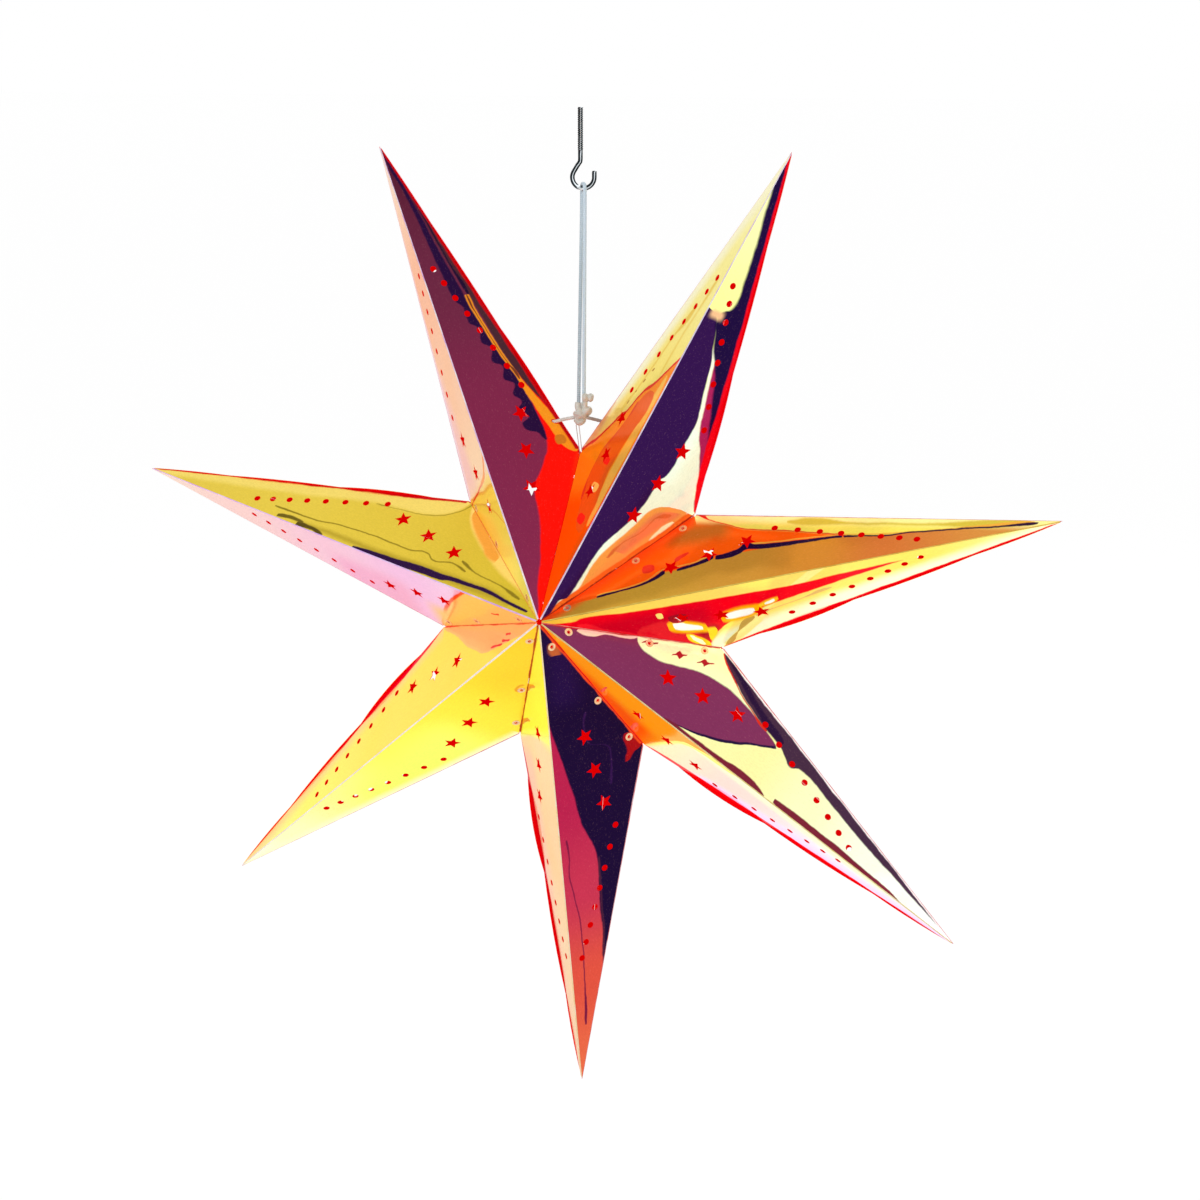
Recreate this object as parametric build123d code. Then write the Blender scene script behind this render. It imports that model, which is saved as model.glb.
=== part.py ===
from build123d import *
import os
from math import acos, atan2, cos, degrees, hypot, radians, sin, sqrt, tan

# A folding seven-pointed star lantern of foil-faced card, hung by a cord loop from a screw hook.
# Origin: on the axis of the hook's thread, where the thread starts: the face it is screwed into.
# +Z is up, -Y is the front. The star hangs below, its flat mid-plane in XZ.
# Each point is one card folded into four triangular panels: front and back, left and right.

# The star's folded form.
point_count = 7
tip_radius = 300.0
valley_radius = 92.2
hub_depth = 65.4
card = 0.4

# Set-backs of the panels from their fold lines.
crease_gap = 0.2
seam_gap = 0.4
fold_clearance = 0.15
fold_travel = 16.0
back_slack = 0.3
hub_relief = 1.6
tip_relief = 1.2
valley_relief = 1.2
notch_relief = 2.2

# Three star-shaped holes and a row of round holes in every panel,
# measured along the ridge from the hub and square to it.
star_hole_radius = 5.7
star_hole_waist = 2.5
star_hole_count = 3
star_row_start = 80.0
star_row_offset = 22.8
star_row_pitch = 22.9
star_row_slope = 11.1
dot_radius = 2.0
dot_count = 8
dot_row_start = 142.7
dot_row_offset = 38.0
dot_row_from_tip = 82.7
dot_row_slope = -20.4
dot_row_crowding = 0.35

# The glue flap behind the left panel of each joined valley, and the eyelets through both.
flap_width = 8.0
flap_hub_end = 12.0
flap_outer_end = 4.0
flap_taper = 45.0
eyelet_from_fold = 3.9
eyelet_flange_radius = 2.4
eyelet_flange = 0.25
eyelet_barrel_radius = 1.5
eyelet_bore_radius = 1.1
eyelet_rim_radius = 2.1
eyelet_fit = 0.05
eyelet_from_hub = 18.0
eyelet_from_outer_end = 10.9
eyelet_pitch = 34.4

# The seam margin along the right side of each point: scallops between tacked places.
seam_tacks = (0.25, 0.6)
seam_end = 0.885
seam_bulges = (1.1, 1.8, 2.7)
seam_tack_margin = 0.7
seam_overlap = 2.0

# The screw hook.
thread_diameter = 3.3
thread_length = 25.0
thread_chamfer = 0.4
wire_diameter = 2.8
bowl_radius = 6.45
bowl_offset = 1.7
bowl_drop = 22.3
hook_lean = 31.0
hook_neck_radius = 5.0
hook_tip_rise = 3.8
hook_yaw = 21.64

# The hanging loop, its knot and the tie that closes the star.
cord_diameter = 2.2
tie_diameter = 2.0
cord_clearance = 0.1
loop_length = 127.8
loop_spread = 3.4
knot_gap = 0.3
knot_height = 10.2
tie_rise = 17.4
tie_edge = 4.0
tie_stub = 4.0
tie_hole_clearance = 0.35
stopper_radius = 2.2
stopper_distance = 5.6

# The knot's rounded lumps: place across the view, height above the tie, radius.
knot_body = (-0.3, 2.4, 3.9)
knot_lobe = (4.6, 6.4, 2.6)
knot_tail = (5.3, 14.6, 2.1)
knot_waist = (1.2, 3.7)
knot_waist_radius = 2.1
knot_stem_radius = 1.2

# The cordless lamp, hung inside the star on two threads.
thread_strand = 0.5
strand_top_places = (-3.0, -1.2)
strand_notch_places = (-0.9, 0.7)
strand_cap_place = 3.0
strand_hole_radius = 0.5
strand_top_gap = 2.0
lamp_radius = 17.0
lamp_wall = 1.5
lamp_top = 34.0
cap_thickness = 2.0
cap_rim_depth = 3.0
cap_fit = 0.2
housing_length = 48.0
lamp_gap = 0.2
board_thickness = 1.2
board_inset = 2.0
diffuser_depth = 17.0
diffuser_wall = 1.2
cell_diameter = 10.5
cell_length = 44.5
cell_nub_radius = 2.7
cell_nub = 0.8
cell_count = 3
cell_gap = 0.3
contact_thickness = 0.3
contact_bump = 0.5
led_radius = 2.5
led_height = 6.5
led_count = 5
led_ring_radius = 8.5
switch_slot_width = 3.2
switch_slot_height = 9.0
switch_knob_height = 5.0
switch_knob_proud = 1.4
switch_fit = 0.15
switch_height = 6.0

# What follows from those sizes.
step = 360 / point_count
hook_across = Vector(cos(radians(hook_yaw)), sin(radians(hook_yaw)), 0)
hang_at = hook_across * bowl_offset
loop_end_z = -bowl_drop - loop_length
tie_z = loop_end_z - knot_height
star_z = tie_z - valley_radius - tie_rise
star_place = Pos(0, 0, star_z)

parts = {}


def ring_point(radius, angle):
    """A point of the star's mid-plane, by its angle up from +X."""
    return Vector(radius * cos(radians(angle)), 0, radius * sin(radians(angle)))


def tip_point(k):
    return ring_point(tip_radius, 90 + step / 2 - (k - 1) * step)


def valley_point(k):
    """The outer end of the valley between points k and k + 1, clockwise; valley 1 is the open one."""
    return ring_point(valley_radius, 90 - (k - 1) * step)


def hub_point(face):
    return Vector(0, -hub_depth if face == "front" else hub_depth, 0)


def angle_between(line_start, line_end, a, b):
    """The angle at a fold line between the half-planes that hold a and b."""
    along = (line_end - line_start).normalized()
    arms = [p - line_start - along * along.dot(p - line_start) for p in (a, b)]
    return degrees(acos(arms[0].dot(arms[1]) / arms[0].length / arms[1].length))


hub = hub_point("front")
ridge_length = (tip_point(1) - hub).length
valley_length = (valley_point(1) - hub).length
hub_angle = (tip_point(1) - hub).get_angle(valley_point(1) - hub)
side_length = (tip_point(1) - valley_point(1)).length
valley_corner = Vector(valley_length * cos(radians(hub_angle)), valley_length * sin(radians(hub_angle)))
valley_angle = angle_between(hub, valley_point(1), tip_point(1), tip_point(2))
valley_gap = card / tan(radians(valley_angle - fold_travel) / 2) + fold_clearance


class Panel:
    """A triangular panel: its plane has the hub at the origin, x on the ridge, y towards the valley."""

    def __init__(self, k, face, side):
        self.k, self.face, self.side = k, face, side
        self.valley = k if side == "right" else (k - 2) % point_count + 1
        self.joined = self.valley != 1
        along = tip_point(k) - hub_point(face)
        across = valley_point(self.valley) - hub_point(face)
        normal = along.cross(across)
        self.plane = Plane(origin=hub_point(face), x_dir=along, z_dir=normal)
        self.outward = 1 if normal.dot(hub_point(face)) > 0 else -1
        self.name = f"point_{k}_{face}_{side}"


def inset_triangle(ridge_gap, valley_gap, side_gap):
    """The panel's triangle with each edge moved in by its own gap."""
    valley_dir = valley_corner.normalized()
    side_dir = (Vector(ridge_length, 0) - valley_corner).normalized()
    edges = (
        (Vector(0, ridge_gap), Vector(1, 0)),
        (Vector(valley_dir.Y, -valley_dir.X) * valley_gap, valley_dir),
        (valley_corner + Vector(side_dir.Y, -side_dir.X) * side_gap, side_dir),
    )
    corners = []
    for (p, d), (q, e) in ((edges[0], edges[1]), (edges[1], edges[2]), (edges[2], edges[0])):
        reach = ((q.X - p.X) * e.Y - (q.Y - p.Y) * e.X) / (d.X * e.Y - d.Y * e.X)
        corners.append(p + d * reach)
    return [(c.X, c.Y) for c in reversed(corners)]


def star_hole():
    """A five-pointed star with one tip towards the ridge."""
    corners = []
    for i in range(10):
        radius = star_hole_radius if i % 2 == 0 else star_hole_waist
        turn = radians(-90 + 36 * i)
        corners.append((radius * cos(turn), radius * sin(turn)))
    return Polygon(*corners, align=None)


def hole_places():
    """Centres of the star-shaped holes, then of the round ones, in a panel's plane."""
    stars = [
        (star_row_start + reach, star_row_offset + reach * tan(radians(star_row_slope)))
        for reach in (i * star_row_pitch for i in range(star_hole_count))
    ]
    row = ridge_length - dot_row_from_tip - dot_row_start
    dots = []
    for i in range(dot_count):
        share = i / (dot_count - 1)
        reach = row * share * (1 + dot_row_crowding / 2 * (1 - share))
        dots.append((dot_row_start + reach, dot_row_offset + reach * tan(radians(dot_row_slope))))
    return stars, dots


def eyelet_places():
    """Centres of a left panel's eyelets along its valley, from the hub outwards."""
    outer = valley_length - eyelet_from_outer_end
    turn = radians(hub_angle)
    return [
        (
            reach * cos(turn) + eyelet_from_fold * sin(turn),
            reach * sin(turn) - eyelet_from_fold * cos(turn),
        )
        for reach in (eyelet_from_hub, outer - eyelet_pitch, outer)
    ]


def seam_margin():
    """The scalloped margin outside the side edge, from the tip almost to the valley, lapping the panel."""
    tip = Vector(ridge_length, 0)
    run = valley_corner - tip
    outward = Vector(-run.Y, run.X).normalized() * (1 if run.X > 0 else -1)
    stops = (2 * tip_relief / run.length, *seam_tacks, seam_end)
    widths = (0, *[seam_tack_margin for _ in seam_tacks], 0)
    margin = Sketch()
    for i, bulge in enumerate(seam_bulges):
        a, b = tip + run * stops[i], tip + run * stops[i + 1]
        crest = (a + b) / 2 + outward * bulge
        inner = (a + b) / 2 - outward * seam_overlap
        outer_a, outer_b = a + outward * widths[i], b + outward * widths[i + 1]
        corners = [outer_b, b, inner, a, outer_a]
        edges = [ThreePointArc(outer_a, crest, outer_b).edge()]
        edges += [Line(p, q).edge() for p, q in zip(corners, corners[1:]) if (q - p).length > 0]
        margin += make_face(edges)
    return margin


def panel_outline(panel):
    """A panel's flat shape with its cut-outs, but not its eyelet holes."""
    slack = back_slack if panel.face == "back" else 0
    side_gap = crease_gap
    if panel.side == "right":
        side_gap = seam_gap if panel.face == "front" else 0
    outline = Polygon(*inset_triangle(crease_gap + slack, valley_gap + slack, side_gap), align=None)
    outline -= Circle(hub_relief + slack)
    outline -= Pos(ridge_length, 0) * Circle(tip_relief)
    corner_relief = valley_relief if panel.joined else notch_relief
    outline -= Pos(valley_corner.X, valley_corner.Y) * Circle(corner_relief)
    if panel.side == "right" and panel.face == "back":
        outline += seam_margin()
    stars, dots = hole_places()
    for place in stars:
        outline -= Pos(*place) * star_hole()
    for place in dots:
        outline -= Pos(*place) * Circle(dot_radius)
    return outline


def flap_outline():
    """The glue flap along the valley, before it is turned in line with it."""
    near = valley_gap
    far = near + flap_width
    lean = flap_width / tan(radians(flap_taper))
    outer = valley_length - flap_outer_end
    return Polygon(
        (flap_hub_end, -near),
        (outer, -near),
        (outer - lean / 2, -far),
        (flap_hub_end + lean, -far),
        align=None,
    )


def eyelet():
    """A hollow eyelet along +Z: its flange on the face of the card, its barrel through card and flap."""
    depth = 2 * card
    profile = Polyline(
        (eyelet_bore_radius, eyelet_flange),
        (eyelet_flange_radius, eyelet_flange),
        (eyelet_flange_radius, 0),
        (eyelet_barrel_radius, 0),
        (eyelet_barrel_radius, -depth),
        (eyelet_rim_radius, -depth),
        (eyelet_rim_radius, -depth - eyelet_flange),
        (eyelet_bore_radius, -depth - eyelet_flange),
        close=True,
    )
    return revolve(Plane.XZ * make_face(profile), Axis.Z)


def tie_line():
    """Where the tie enters the star beside the open valley: its offset along X and along Y."""
    edge = (tip_point(2) - valley_point(1)).normalized()
    start_x = tie_rise * edge.X / edge.Z
    inward = panels["point_2_front_left"].plane.z_dir.cross(edge).normalized()
    if inward.X < 0:
        inward = inward * -1
    level = edge * (-inward.Z / edge.Z)
    place = (inward + level) * tie_edge
    return start_x + place.X, abs(place.Y)


def tie_axis():
    """The tie's direction, from the first point's front towards the second point's back."""
    reach_x, reach_y = tie_line()
    return Vector(reach_x, reach_y, 0).normalized()


def along_tie(start, end, radius):
    """A round bar on the tie's line, in the star's own place."""
    origin = Vector(0, 0, valley_radius + tie_rise) + tie_axis() * start
    return Plane(origin=origin, z_dir=tie_axis()) * Cylinder(
        radius, end - start, align=(Align.CENTER, Align.CENTER, Align.MIN)
    )


# The 28 panels. The left panel of each joined valley carries the next card's glue flap behind it.
panels = {
    panel.name: panel
    for panel in (
        Panel(k, face, side)
        for k in range(1, point_count + 1)
        for face in ("front", "back")
        for side in ("left", "right")
    )
}
tie_reach = hypot(*tie_line())
tie_hole = along_tie(-2 * tie_reach, 2 * tie_reach, tie_diameter / 2 + tie_hole_clearance)
for name, panel in panels.items():
    outline = panel_outline(panel)
    has_flap = panel.side == "left" and panel.joined
    if has_flap:
        for place in eyelet_places():
            outline -= Pos(*place) * Circle(eyelet_barrel_radius + eyelet_fit)
    solids = [extrude(panel.plane * outline, card, dir=panel.plane.z_dir * panel.outward)]
    if has_flap:
        flap = Rot(0, 0, hub_angle) * flap_outline()
        for place in eyelet_places():
            flap -= Pos(*place) * Circle(eyelet_barrel_radius + eyelet_fit)
        solids.append(extrude(panel.plane * flap, card, dir=panel.plane.z_dir * -panel.outward))
        lift = card * panel.outward
        turn = 0 if panel.outward > 0 else 180
        eyelets = [
            star_place * (panel.plane * Pos(*place, lift) * Rot(turn, 0, 0) * eyelet())
            for place in eyelet_places()
        ]
        parts[f"eyelets_{panel.face}_{panel.k}"] = Compound(children=eyelets)
    if name in ("point_1_front_right", "point_2_back_left"):
        solids[0] = solids[0] - tie_hole
    placed = [star_place * solid for solid in solids]
    parts[name] = Compound(children=placed) if len(placed) > 1 else placed[0]


# The screw hook: a threaded shank, shown as a plain bar of the thread's full diameter, and a bent wire.
bowl_centre_z = bowl_radius - bowl_drop
arm_turn = radians(180 - hook_lean)
arm_foot = (bowl_offset + bowl_radius * cos(arm_turn), bowl_centre_z + bowl_radius * sin(arm_turn))
neck_z = arm_foot[1] - arm_foot[0] / tan(radians(hook_lean))
neck_cut = hook_neck_radius * tan(radians(hook_lean) / 2)
neck_end = (-neck_cut * sin(radians(hook_lean)), neck_z - neck_cut * cos(radians(hook_lean)))
hook_tip = (bowl_offset + bowl_radius, bowl_centre_z + hook_tip_rise)
hook_plane = Plane(origin=(0, 0, 0), x_dir=hook_across, z_dir=Vector(hook_across.Y, -hook_across.X, 0))
hook_path = Wire(
    [
        Line((0, 0), (0, neck_z + neck_cut)).edge(),
        TangentArc((0, neck_z + neck_cut), neck_end, tangent=(0, -1)).edge(),
        Line(neck_end, arm_foot).edge(),
        CenterArc((bowl_offset, bowl_centre_z), bowl_radius, 180 - hook_lean, 180 + hook_lean).edge(),
        Line((bowl_offset + bowl_radius, bowl_centre_z), hook_tip).edge(),
    ]
)
hook_section = Plane(origin=(0, 0, 0), z_dir=(0, 0, -1)) * Circle(wire_diameter / 2)
hook_wire = sweep(hook_section, hook_plane * hook_path)
thread = Cylinder(thread_diameter / 2, thread_length, align=(Align.CENTER, Align.CENTER, Align.MIN))
thread = chamfer(thread.edges().group_by(Axis.Z)[-1], thread_chamfer)
parts["screw_hook"] = thread + hook_wire


# The hanging loop: one cord from the knot, over the hook's wire and back to the knot.
over_radius = (wire_diameter + cord_diameter) / 2 + cord_clearance
wire_z = -bowl_drop
loop_foot_z = loop_end_z + knot_gap
loop_top_z = wire_z + over_radius
hook_front = Vector(hook_across.Y, -hook_across.X, 0)
loop_points = [
    hook_across * (-loop_spread / 2) + Vector(0, 0, loop_foot_z),
    hang_at + hook_front * over_radius + Vector(0, 0, loop_top_z),
    hang_at - hook_front * over_radius + Vector(0, 0, loop_top_z),
    hook_across * (loop_spread / 2) + Vector(0, 0, loop_foot_z),
]
loop_path = FilletPolyline(*loop_points, radius=over_radius * 0.98)
loop_start = Plane(origin=loop_points[0], z_dir=loop_points[1] - loop_points[0])
parts["hanging_loop"] = sweep(loop_start * Circle(cord_diameter / 2), loop_path)
print("loop bend radius", round(over_radius * 0.98, 2), "length", round(loop_path.length, 1))


# The knot: a lump round the tie, a lobe and a short tail beside the loop, seen face on from the front.
def knot_ball(across, height, radius):
    """A lump, turned so that its seam and poles are clear of what joins it."""
    place = Pos(across * hook_across.X, across * hook_across.Y, tie_z + height)
    return place * Rot(0, 0, hook_yaw) * Rot(90, 0, 0) * Rot(0, 0, -45) * Sphere(radius)


def knot_bar(start, end, radius):
    ends = [hook_across * place[0] + Vector(0, 0, tie_z + place[1]) for place in (start, end)]
    bar = Plane(origin=ends[0], z_dir=ends[1] - ends[0])
    return bar * Cylinder(radius, (ends[1] - ends[0]).length, align=(Align.CENTER, Align.CENTER, Align.MIN))


tie_bore = star_place * along_tie(-tie_reach, tie_reach, tie_diameter / 2 + eyelet_fit)
knot = knot_ball(*knot_body) - tie_bore
knot += knot_ball(*knot_lobe) + knot_bar(knot_waist, knot_lobe, knot_waist_radius)
knot += knot_bar(knot_lobe, knot_tail, knot_stem_radius) + knot_ball(*knot_tail)
parts["loop_knot"] = knot


# The tie: one cord through the first point's front and the second point's back, with a stopper knot.
tie = along_tie(-tie_reach - tie_stub, tie_reach + stopper_distance, tie_diameter / 2)
tie_end = Vector(0, 0, valley_radius + tie_rise) + tie_axis() * (tie_reach + stopper_distance)
tie += Pos(tie_end) * Sphere(stopper_radius)
parts["tie_cord"] = star_place * tie


# The lamp's two threads: from the knot to the notch at the open valley, and from there to the lamp's cap.
def strand(start, end):
    bar = Plane(origin=start, z_dir=end - start)
    length = (end - start).length
    thread_bar = Cylinder(thread_strand / 2, length, align=(Align.CENTER, Align.CENTER, Align.MIN))
    return star_place * (bar * thread_bar)


strand_top_z = valley_radius + tie_rise - strand_top_gap
cap_hole_places = (-strand_cap_place, strand_cap_place)
strand_notch_z = valley_radius
strand_break = 0.1
parts["lamp_threads_upper"] = Compound(
    children=[
        strand(Vector(top, 0, strand_top_z), Vector(notch, 0, strand_notch_z + strand_break))
        for top, notch in zip(strand_top_places, strand_notch_places)
    ]
)
strand_foot_z = lamp_top - cap_thickness / 2
parts["lamp_threads_lower"] = Compound(
    children=[
        strand(Vector(notch, 0, strand_notch_z - strand_break), Vector(end, 0, strand_foot_z))
        for notch, end in zip(strand_notch_places, cap_hole_places)
    ]
)


# The lamp: a battery tube with its cap on top and a diffuser dome below.
def disc(radius, low, high):
    return Pos(0, 0, low) * Cylinder(radius, high - low, align=(Align.CENTER, Align.CENTER, Align.MIN))


housing_top = lamp_top - cap_thickness
housing_bottom = housing_top - housing_length
floor_top = housing_bottom + lamp_wall
inner_radius = lamp_radius - lamp_wall
rim_outer = inner_radius - cap_fit
cap = disc(lamp_radius, housing_top, lamp_top)
cap += disc(rim_outer, housing_top - cap_rim_depth, housing_top)
cap -= disc(rim_outer - lamp_wall, housing_top - cap_rim_depth, housing_top)
for place in cap_hole_places:
    cap -= Pos(place, 0) * disc(strand_hole_radius, housing_top, lamp_top)
cap_edge = cap.edges().group_by(Axis.Z)[-1].sort_by(SortBy.RADIUS)[-1]
parts["lamp_cap"] = star_place * fillet(cap_edge, cap_thickness / 2)

housing = disc(lamp_radius, housing_bottom, housing_top - lamp_gap)
housing -= disc(inner_radius, floor_top, housing_top)
switch_z = housing_bottom + housing_length / 2 + switch_height
housing -= Pos(0, -lamp_radius, switch_z) * Box(switch_slot_width, 4 * lamp_wall, switch_slot_height)
parts["lamp_housing"] = star_place * housing

knob_low = switch_z - switch_slot_height / 2 + switch_fit
knob_width = switch_slot_width - 2 * switch_fit
knob_depth = lamp_wall + switch_knob_proud
slider = Pos(0, -lamp_radius - switch_knob_proud + knob_depth / 2, knob_low + switch_knob_height / 2) * Box(
    knob_width, knob_depth, switch_knob_height
)
slider = fillet(slider.edges().group_by(Axis.Y)[0], switch_knob_proud / 4)
parts["lamp_switch_slider"] = star_place * slider

board_top = housing_bottom - lamp_gap
board_radius = lamp_radius - diffuser_wall - board_inset
parts["led_board"] = star_place * disc(board_radius, board_top - board_thickness, board_top)

led_top = board_top - board_thickness
leds = []
for i in range(led_count):
    spot = Rot(0, 0, i * 360 / led_count) * Pos(led_ring_radius, 0, 0)
    lens = disc(led_radius, led_top - led_height + led_radius, led_top)
    lens += Pos(0, 0, led_top - led_height + led_radius) * Sphere(led_radius)
    leds.append(star_place * spot * lens)
parts["leds"] = Compound(children=leds)

dome = Pos(0, 0, housing_bottom) * scale(Sphere(lamp_radius), by=(1, 1, diffuser_depth / lamp_radius))
hollow_radius = lamp_radius - diffuser_wall
hollow = Pos(0, 0, housing_bottom) * scale(
    Sphere(hollow_radius), by=(1, 1, (diffuser_depth - diffuser_wall) / hollow_radius)
)
below = Pos(0, 0, housing_bottom) * Box(
    3 * lamp_radius, 3 * lamp_radius, 2 * diffuser_depth, align=(Align.CENTER, Align.CENTER, Align.MAX)
)
parts["lamp_diffuser"] = star_place * ((dome - hollow) & below)

cell_ring = (cell_diameter + cell_gap) / sqrt(3)
contact_radius = cell_ring + cell_diameter / 2
lower_contact = floor_top + cell_gap / 2
cell_low = lower_contact + contact_thickness + contact_bump
cell_high = cell_low + cell_length
contacts = [disc(contact_radius, lower_contact, lower_contact + contact_thickness)]
contacts.append(disc(contact_radius, cell_high, cell_high + contact_thickness))
cells = []
for i in range(cell_count):
    spot = Rot(0, 0, 90 + i * 360 / cell_count) * Pos(cell_ring, 0, 0)
    cell = disc(cell_diameter / 2, cell_low, cell_high - cell_nub) + disc(cell_nub_radius, cell_low, cell_high)
    cells.append(star_place * spot * cell)
    contacts[0] += spot * disc(cell_nub_radius, lower_contact, cell_low)
parts["battery_cells"] = Compound(children=cells)
parts["battery_contacts"] = Compound(children=[star_place * contact for contact in contacts])


os.makedirs("parts", exist_ok=True)
for name, shape in parts.items():
    export_step(shape, f"parts/{name}.step")
print(len(parts), "nodes")
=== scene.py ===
from functools import partial
from math import cos, pi, radians, sin, tan

import bmesh
import bpy
from mathutils import Matrix, Vector


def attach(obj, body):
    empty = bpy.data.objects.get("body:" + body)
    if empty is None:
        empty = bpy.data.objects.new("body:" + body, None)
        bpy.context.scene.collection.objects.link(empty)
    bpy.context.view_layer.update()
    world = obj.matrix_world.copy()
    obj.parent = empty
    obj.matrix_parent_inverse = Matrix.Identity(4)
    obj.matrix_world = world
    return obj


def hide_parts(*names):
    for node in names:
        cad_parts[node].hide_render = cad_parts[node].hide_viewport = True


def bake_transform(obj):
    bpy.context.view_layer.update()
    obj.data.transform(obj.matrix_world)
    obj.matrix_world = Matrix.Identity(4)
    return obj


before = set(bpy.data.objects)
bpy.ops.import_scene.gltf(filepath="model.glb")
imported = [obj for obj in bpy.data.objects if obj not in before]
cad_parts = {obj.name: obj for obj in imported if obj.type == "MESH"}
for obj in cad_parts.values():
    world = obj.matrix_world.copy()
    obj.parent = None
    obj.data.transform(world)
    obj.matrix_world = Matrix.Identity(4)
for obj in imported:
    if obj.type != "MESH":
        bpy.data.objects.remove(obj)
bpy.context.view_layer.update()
scene = bpy.context.scene
scene.view_settings.view_transform = "Standard"


# The camera stands a little to the star's right and above its middle, and looks
# slightly down, so the front of every point shows and the hanging cord stands upright.
eye = Vector((0.67746, -1.67641, 0.06808))
view_right = Vector((0.92952, 0.36877, -0.00033))
view_up = Vector((-0.06710, 0.17002, 0.98315))
camera_data = bpy.data.cameras.new("camera")
camera_data.sensor_width = 36
camera_data.lens = 91.71
camera = bpy.data.objects.new("camera", camera_data)
turned = Matrix((view_right, view_up, view_right.cross(view_up))).transposed()
camera.matrix_world = Matrix.Translation(eye) @ turned.to_4x4()
scene.collection.objects.link(camera)
scene.camera = camera


# The hanging loop is one soft white cord of 2.2 mm, knotted below the hook. It is pulled
# tight by the star: two straight strands that part over the hook's wire and meet at the knot.
yaw = radians(21.64)
across = Vector((cos(yaw), sin(yaw), 0))
front = Vector((sin(yaw), -cos(yaw), 0))
up = Vector((0, 0, 1))
bowl_bottom = across * 0.0017 - up * 0.0223
loop_foot = -0.1498
loop_turn = (
    (-0.0009, -0.00255, -0.0132),
    (-0.0009, -0.0025, -0.0030),
    (-0.0008, -0.0025, 0.0015),
    (-0.0005, -0.0012, 0.0027),
    (0.0005, 0.0012, 0.0027),
    (0.0008, 0.0025, 0.0015),
    (0.0009, 0.0025, -0.0030),
    (0.0009, 0.00255, -0.0132),
)
loop_route = [across * -0.0013 + up * loop_foot]
loop_route += [
    bowl_bottom + across * aside + front * out + up * rise for aside, out, rise in loop_turn
]
loop_route += [across * 0.0019 + up * loop_foot]


def linear(code):
    """A colour as the shaders take it, from its six-figure code."""
    parts = [int(code[i : i + 2], 16) / 255 for i in (0, 2, 4)]
    return tuple(p / 12.92 if p < 0.04045 else ((p + 0.055) / 1.055) ** 2.4 for p in parts) + (1,)


def new_finish(name, settings=()):
    """A new material with its tree and its main shader, whose plain inputs are set."""
    finish = bpy.data.materials.new(name)
    finish.use_nodes = True
    shader = finish.node_tree.nodes["Principled BSDF"]
    for socket, value in dict(settings).items():
        shader.inputs[socket].default_value = value
    return finish, finish.node_tree, shader


def put(tree, value, socket):
    """Set a socket to a number or join it to an output."""
    if hasattr(value, "is_output"):
        tree.links.new(value, socket)
    else:
        socket.default_value = value


def calculate(tree, operation, *values, clamp=False):
    node = tree.nodes.new("ShaderNodeMath")
    node.operation = operation
    node.use_clamp = clamp
    for socket, value in zip(node.inputs, values):
        put(tree, value, socket)
    return node.outputs[0]


def blended(tree, share, first, second):
    """One colour turning into another by a share."""
    node = tree.nodes.new("ShaderNodeMix")
    node.data_type = "RGBA"
    put(tree, share, node.inputs[0])
    put(tree, first, node.inputs[6])
    put(tree, second, node.inputs[7])
    return node.outputs[2]


def grain(tree, coordinates, scale, detail, stretch=(1, 1, 1)):
    """Noise on given coordinates, stretched where a finish has a direction."""
    mapping = tree.nodes.new("ShaderNodeMapping")
    mapping.inputs["Scale"].default_value = stretch
    tree.links.new(coordinates, mapping.inputs["Vector"])
    noise = tree.nodes.new("ShaderNodeTexNoise")
    noise.inputs["Scale"].default_value = scale
    noise.inputs["Detail"].default_value = detail
    tree.links.new(mapping.outputs[0], noise.inputs["Vector"])
    return noise


def waved(tree, coordinates, direction, settings):
    """Straight bands across given coordinates."""
    wave = tree.nodes.new("ShaderNodeTexWave")
    wave.bands_direction = direction
    for socket, value in settings.items():
        wave.inputs[socket].default_value = value
    tree.links.new(coordinates, wave.inputs["Vector"])
    return wave


def ramped(tree, value, stops, kind):
    """A colour that follows a value through a row of stops."""
    node = tree.nodes.new("ShaderNodeValToRGB")
    node.color_ramp.interpolation = kind
    ends = node.color_ramp.elements
    while len(ends) < len(stops):
        ends.new(0.5)
    for element, (position, code) in zip(ends, stops):
        element.position = position
        element.color = linear(code)
    put(tree, value, node.inputs[0])
    return node.outputs[0]


def bumped(tree, shader, height, distance, strength, under=None):
    bump = tree.nodes.new("ShaderNodeBump")
    bump.inputs["Distance"].default_value = distance
    bump.inputs["Strength"].default_value = strength
    put(tree, height, bump.inputs["Height"])
    if under:
        tree.links.new(under, bump.inputs["Normal"])
    tree.links.new(bump.outputs[0], shader.inputs["Normal"])
    return bump.outputs[0]


def object_place(tree):
    return tree.nodes.new("ShaderNodeTexCoord").outputs["Object"]


def speckled(name, dark, light, grains, relief, settings, stretch=(1, 1, 1)):
    """A material whose colour and surface both vary a little with one noise."""
    finish, tree, shader = new_finish(name, settings)
    speck = grain(tree, object_place(tree), *grains, stretch)
    tone = blended(tree, speck.outputs["Fac"], linear(dark), linear(light))
    tree.links.new(tone, shader.inputs["Base Color"])
    bumped(tree, shader, speck.outputs["Fac"], *relief)
    return finish, tree, shader


def round_curve(name, radius, roundness, routes):
    """A curve with a round section. Each point of a route has its place and its swelling."""
    curve = bpy.data.curves.new(name, "CURVE")
    curve.dimensions = "3D"
    curve.bevel_depth = radius
    curve.bevel_resolution = roundness
    curve.use_fill_caps = True
    for route in routes:
        spline = curve.splines.new("NURBS")
        spline.points.add(len(route) - 1)
        for point, (spot, swelling) in zip(spline.points, route):
            point.co = (*spot, 1)
            point.radius = swelling
        spline.order_u = 3
        spline.use_endpoint_u = True
    return curve


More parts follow.
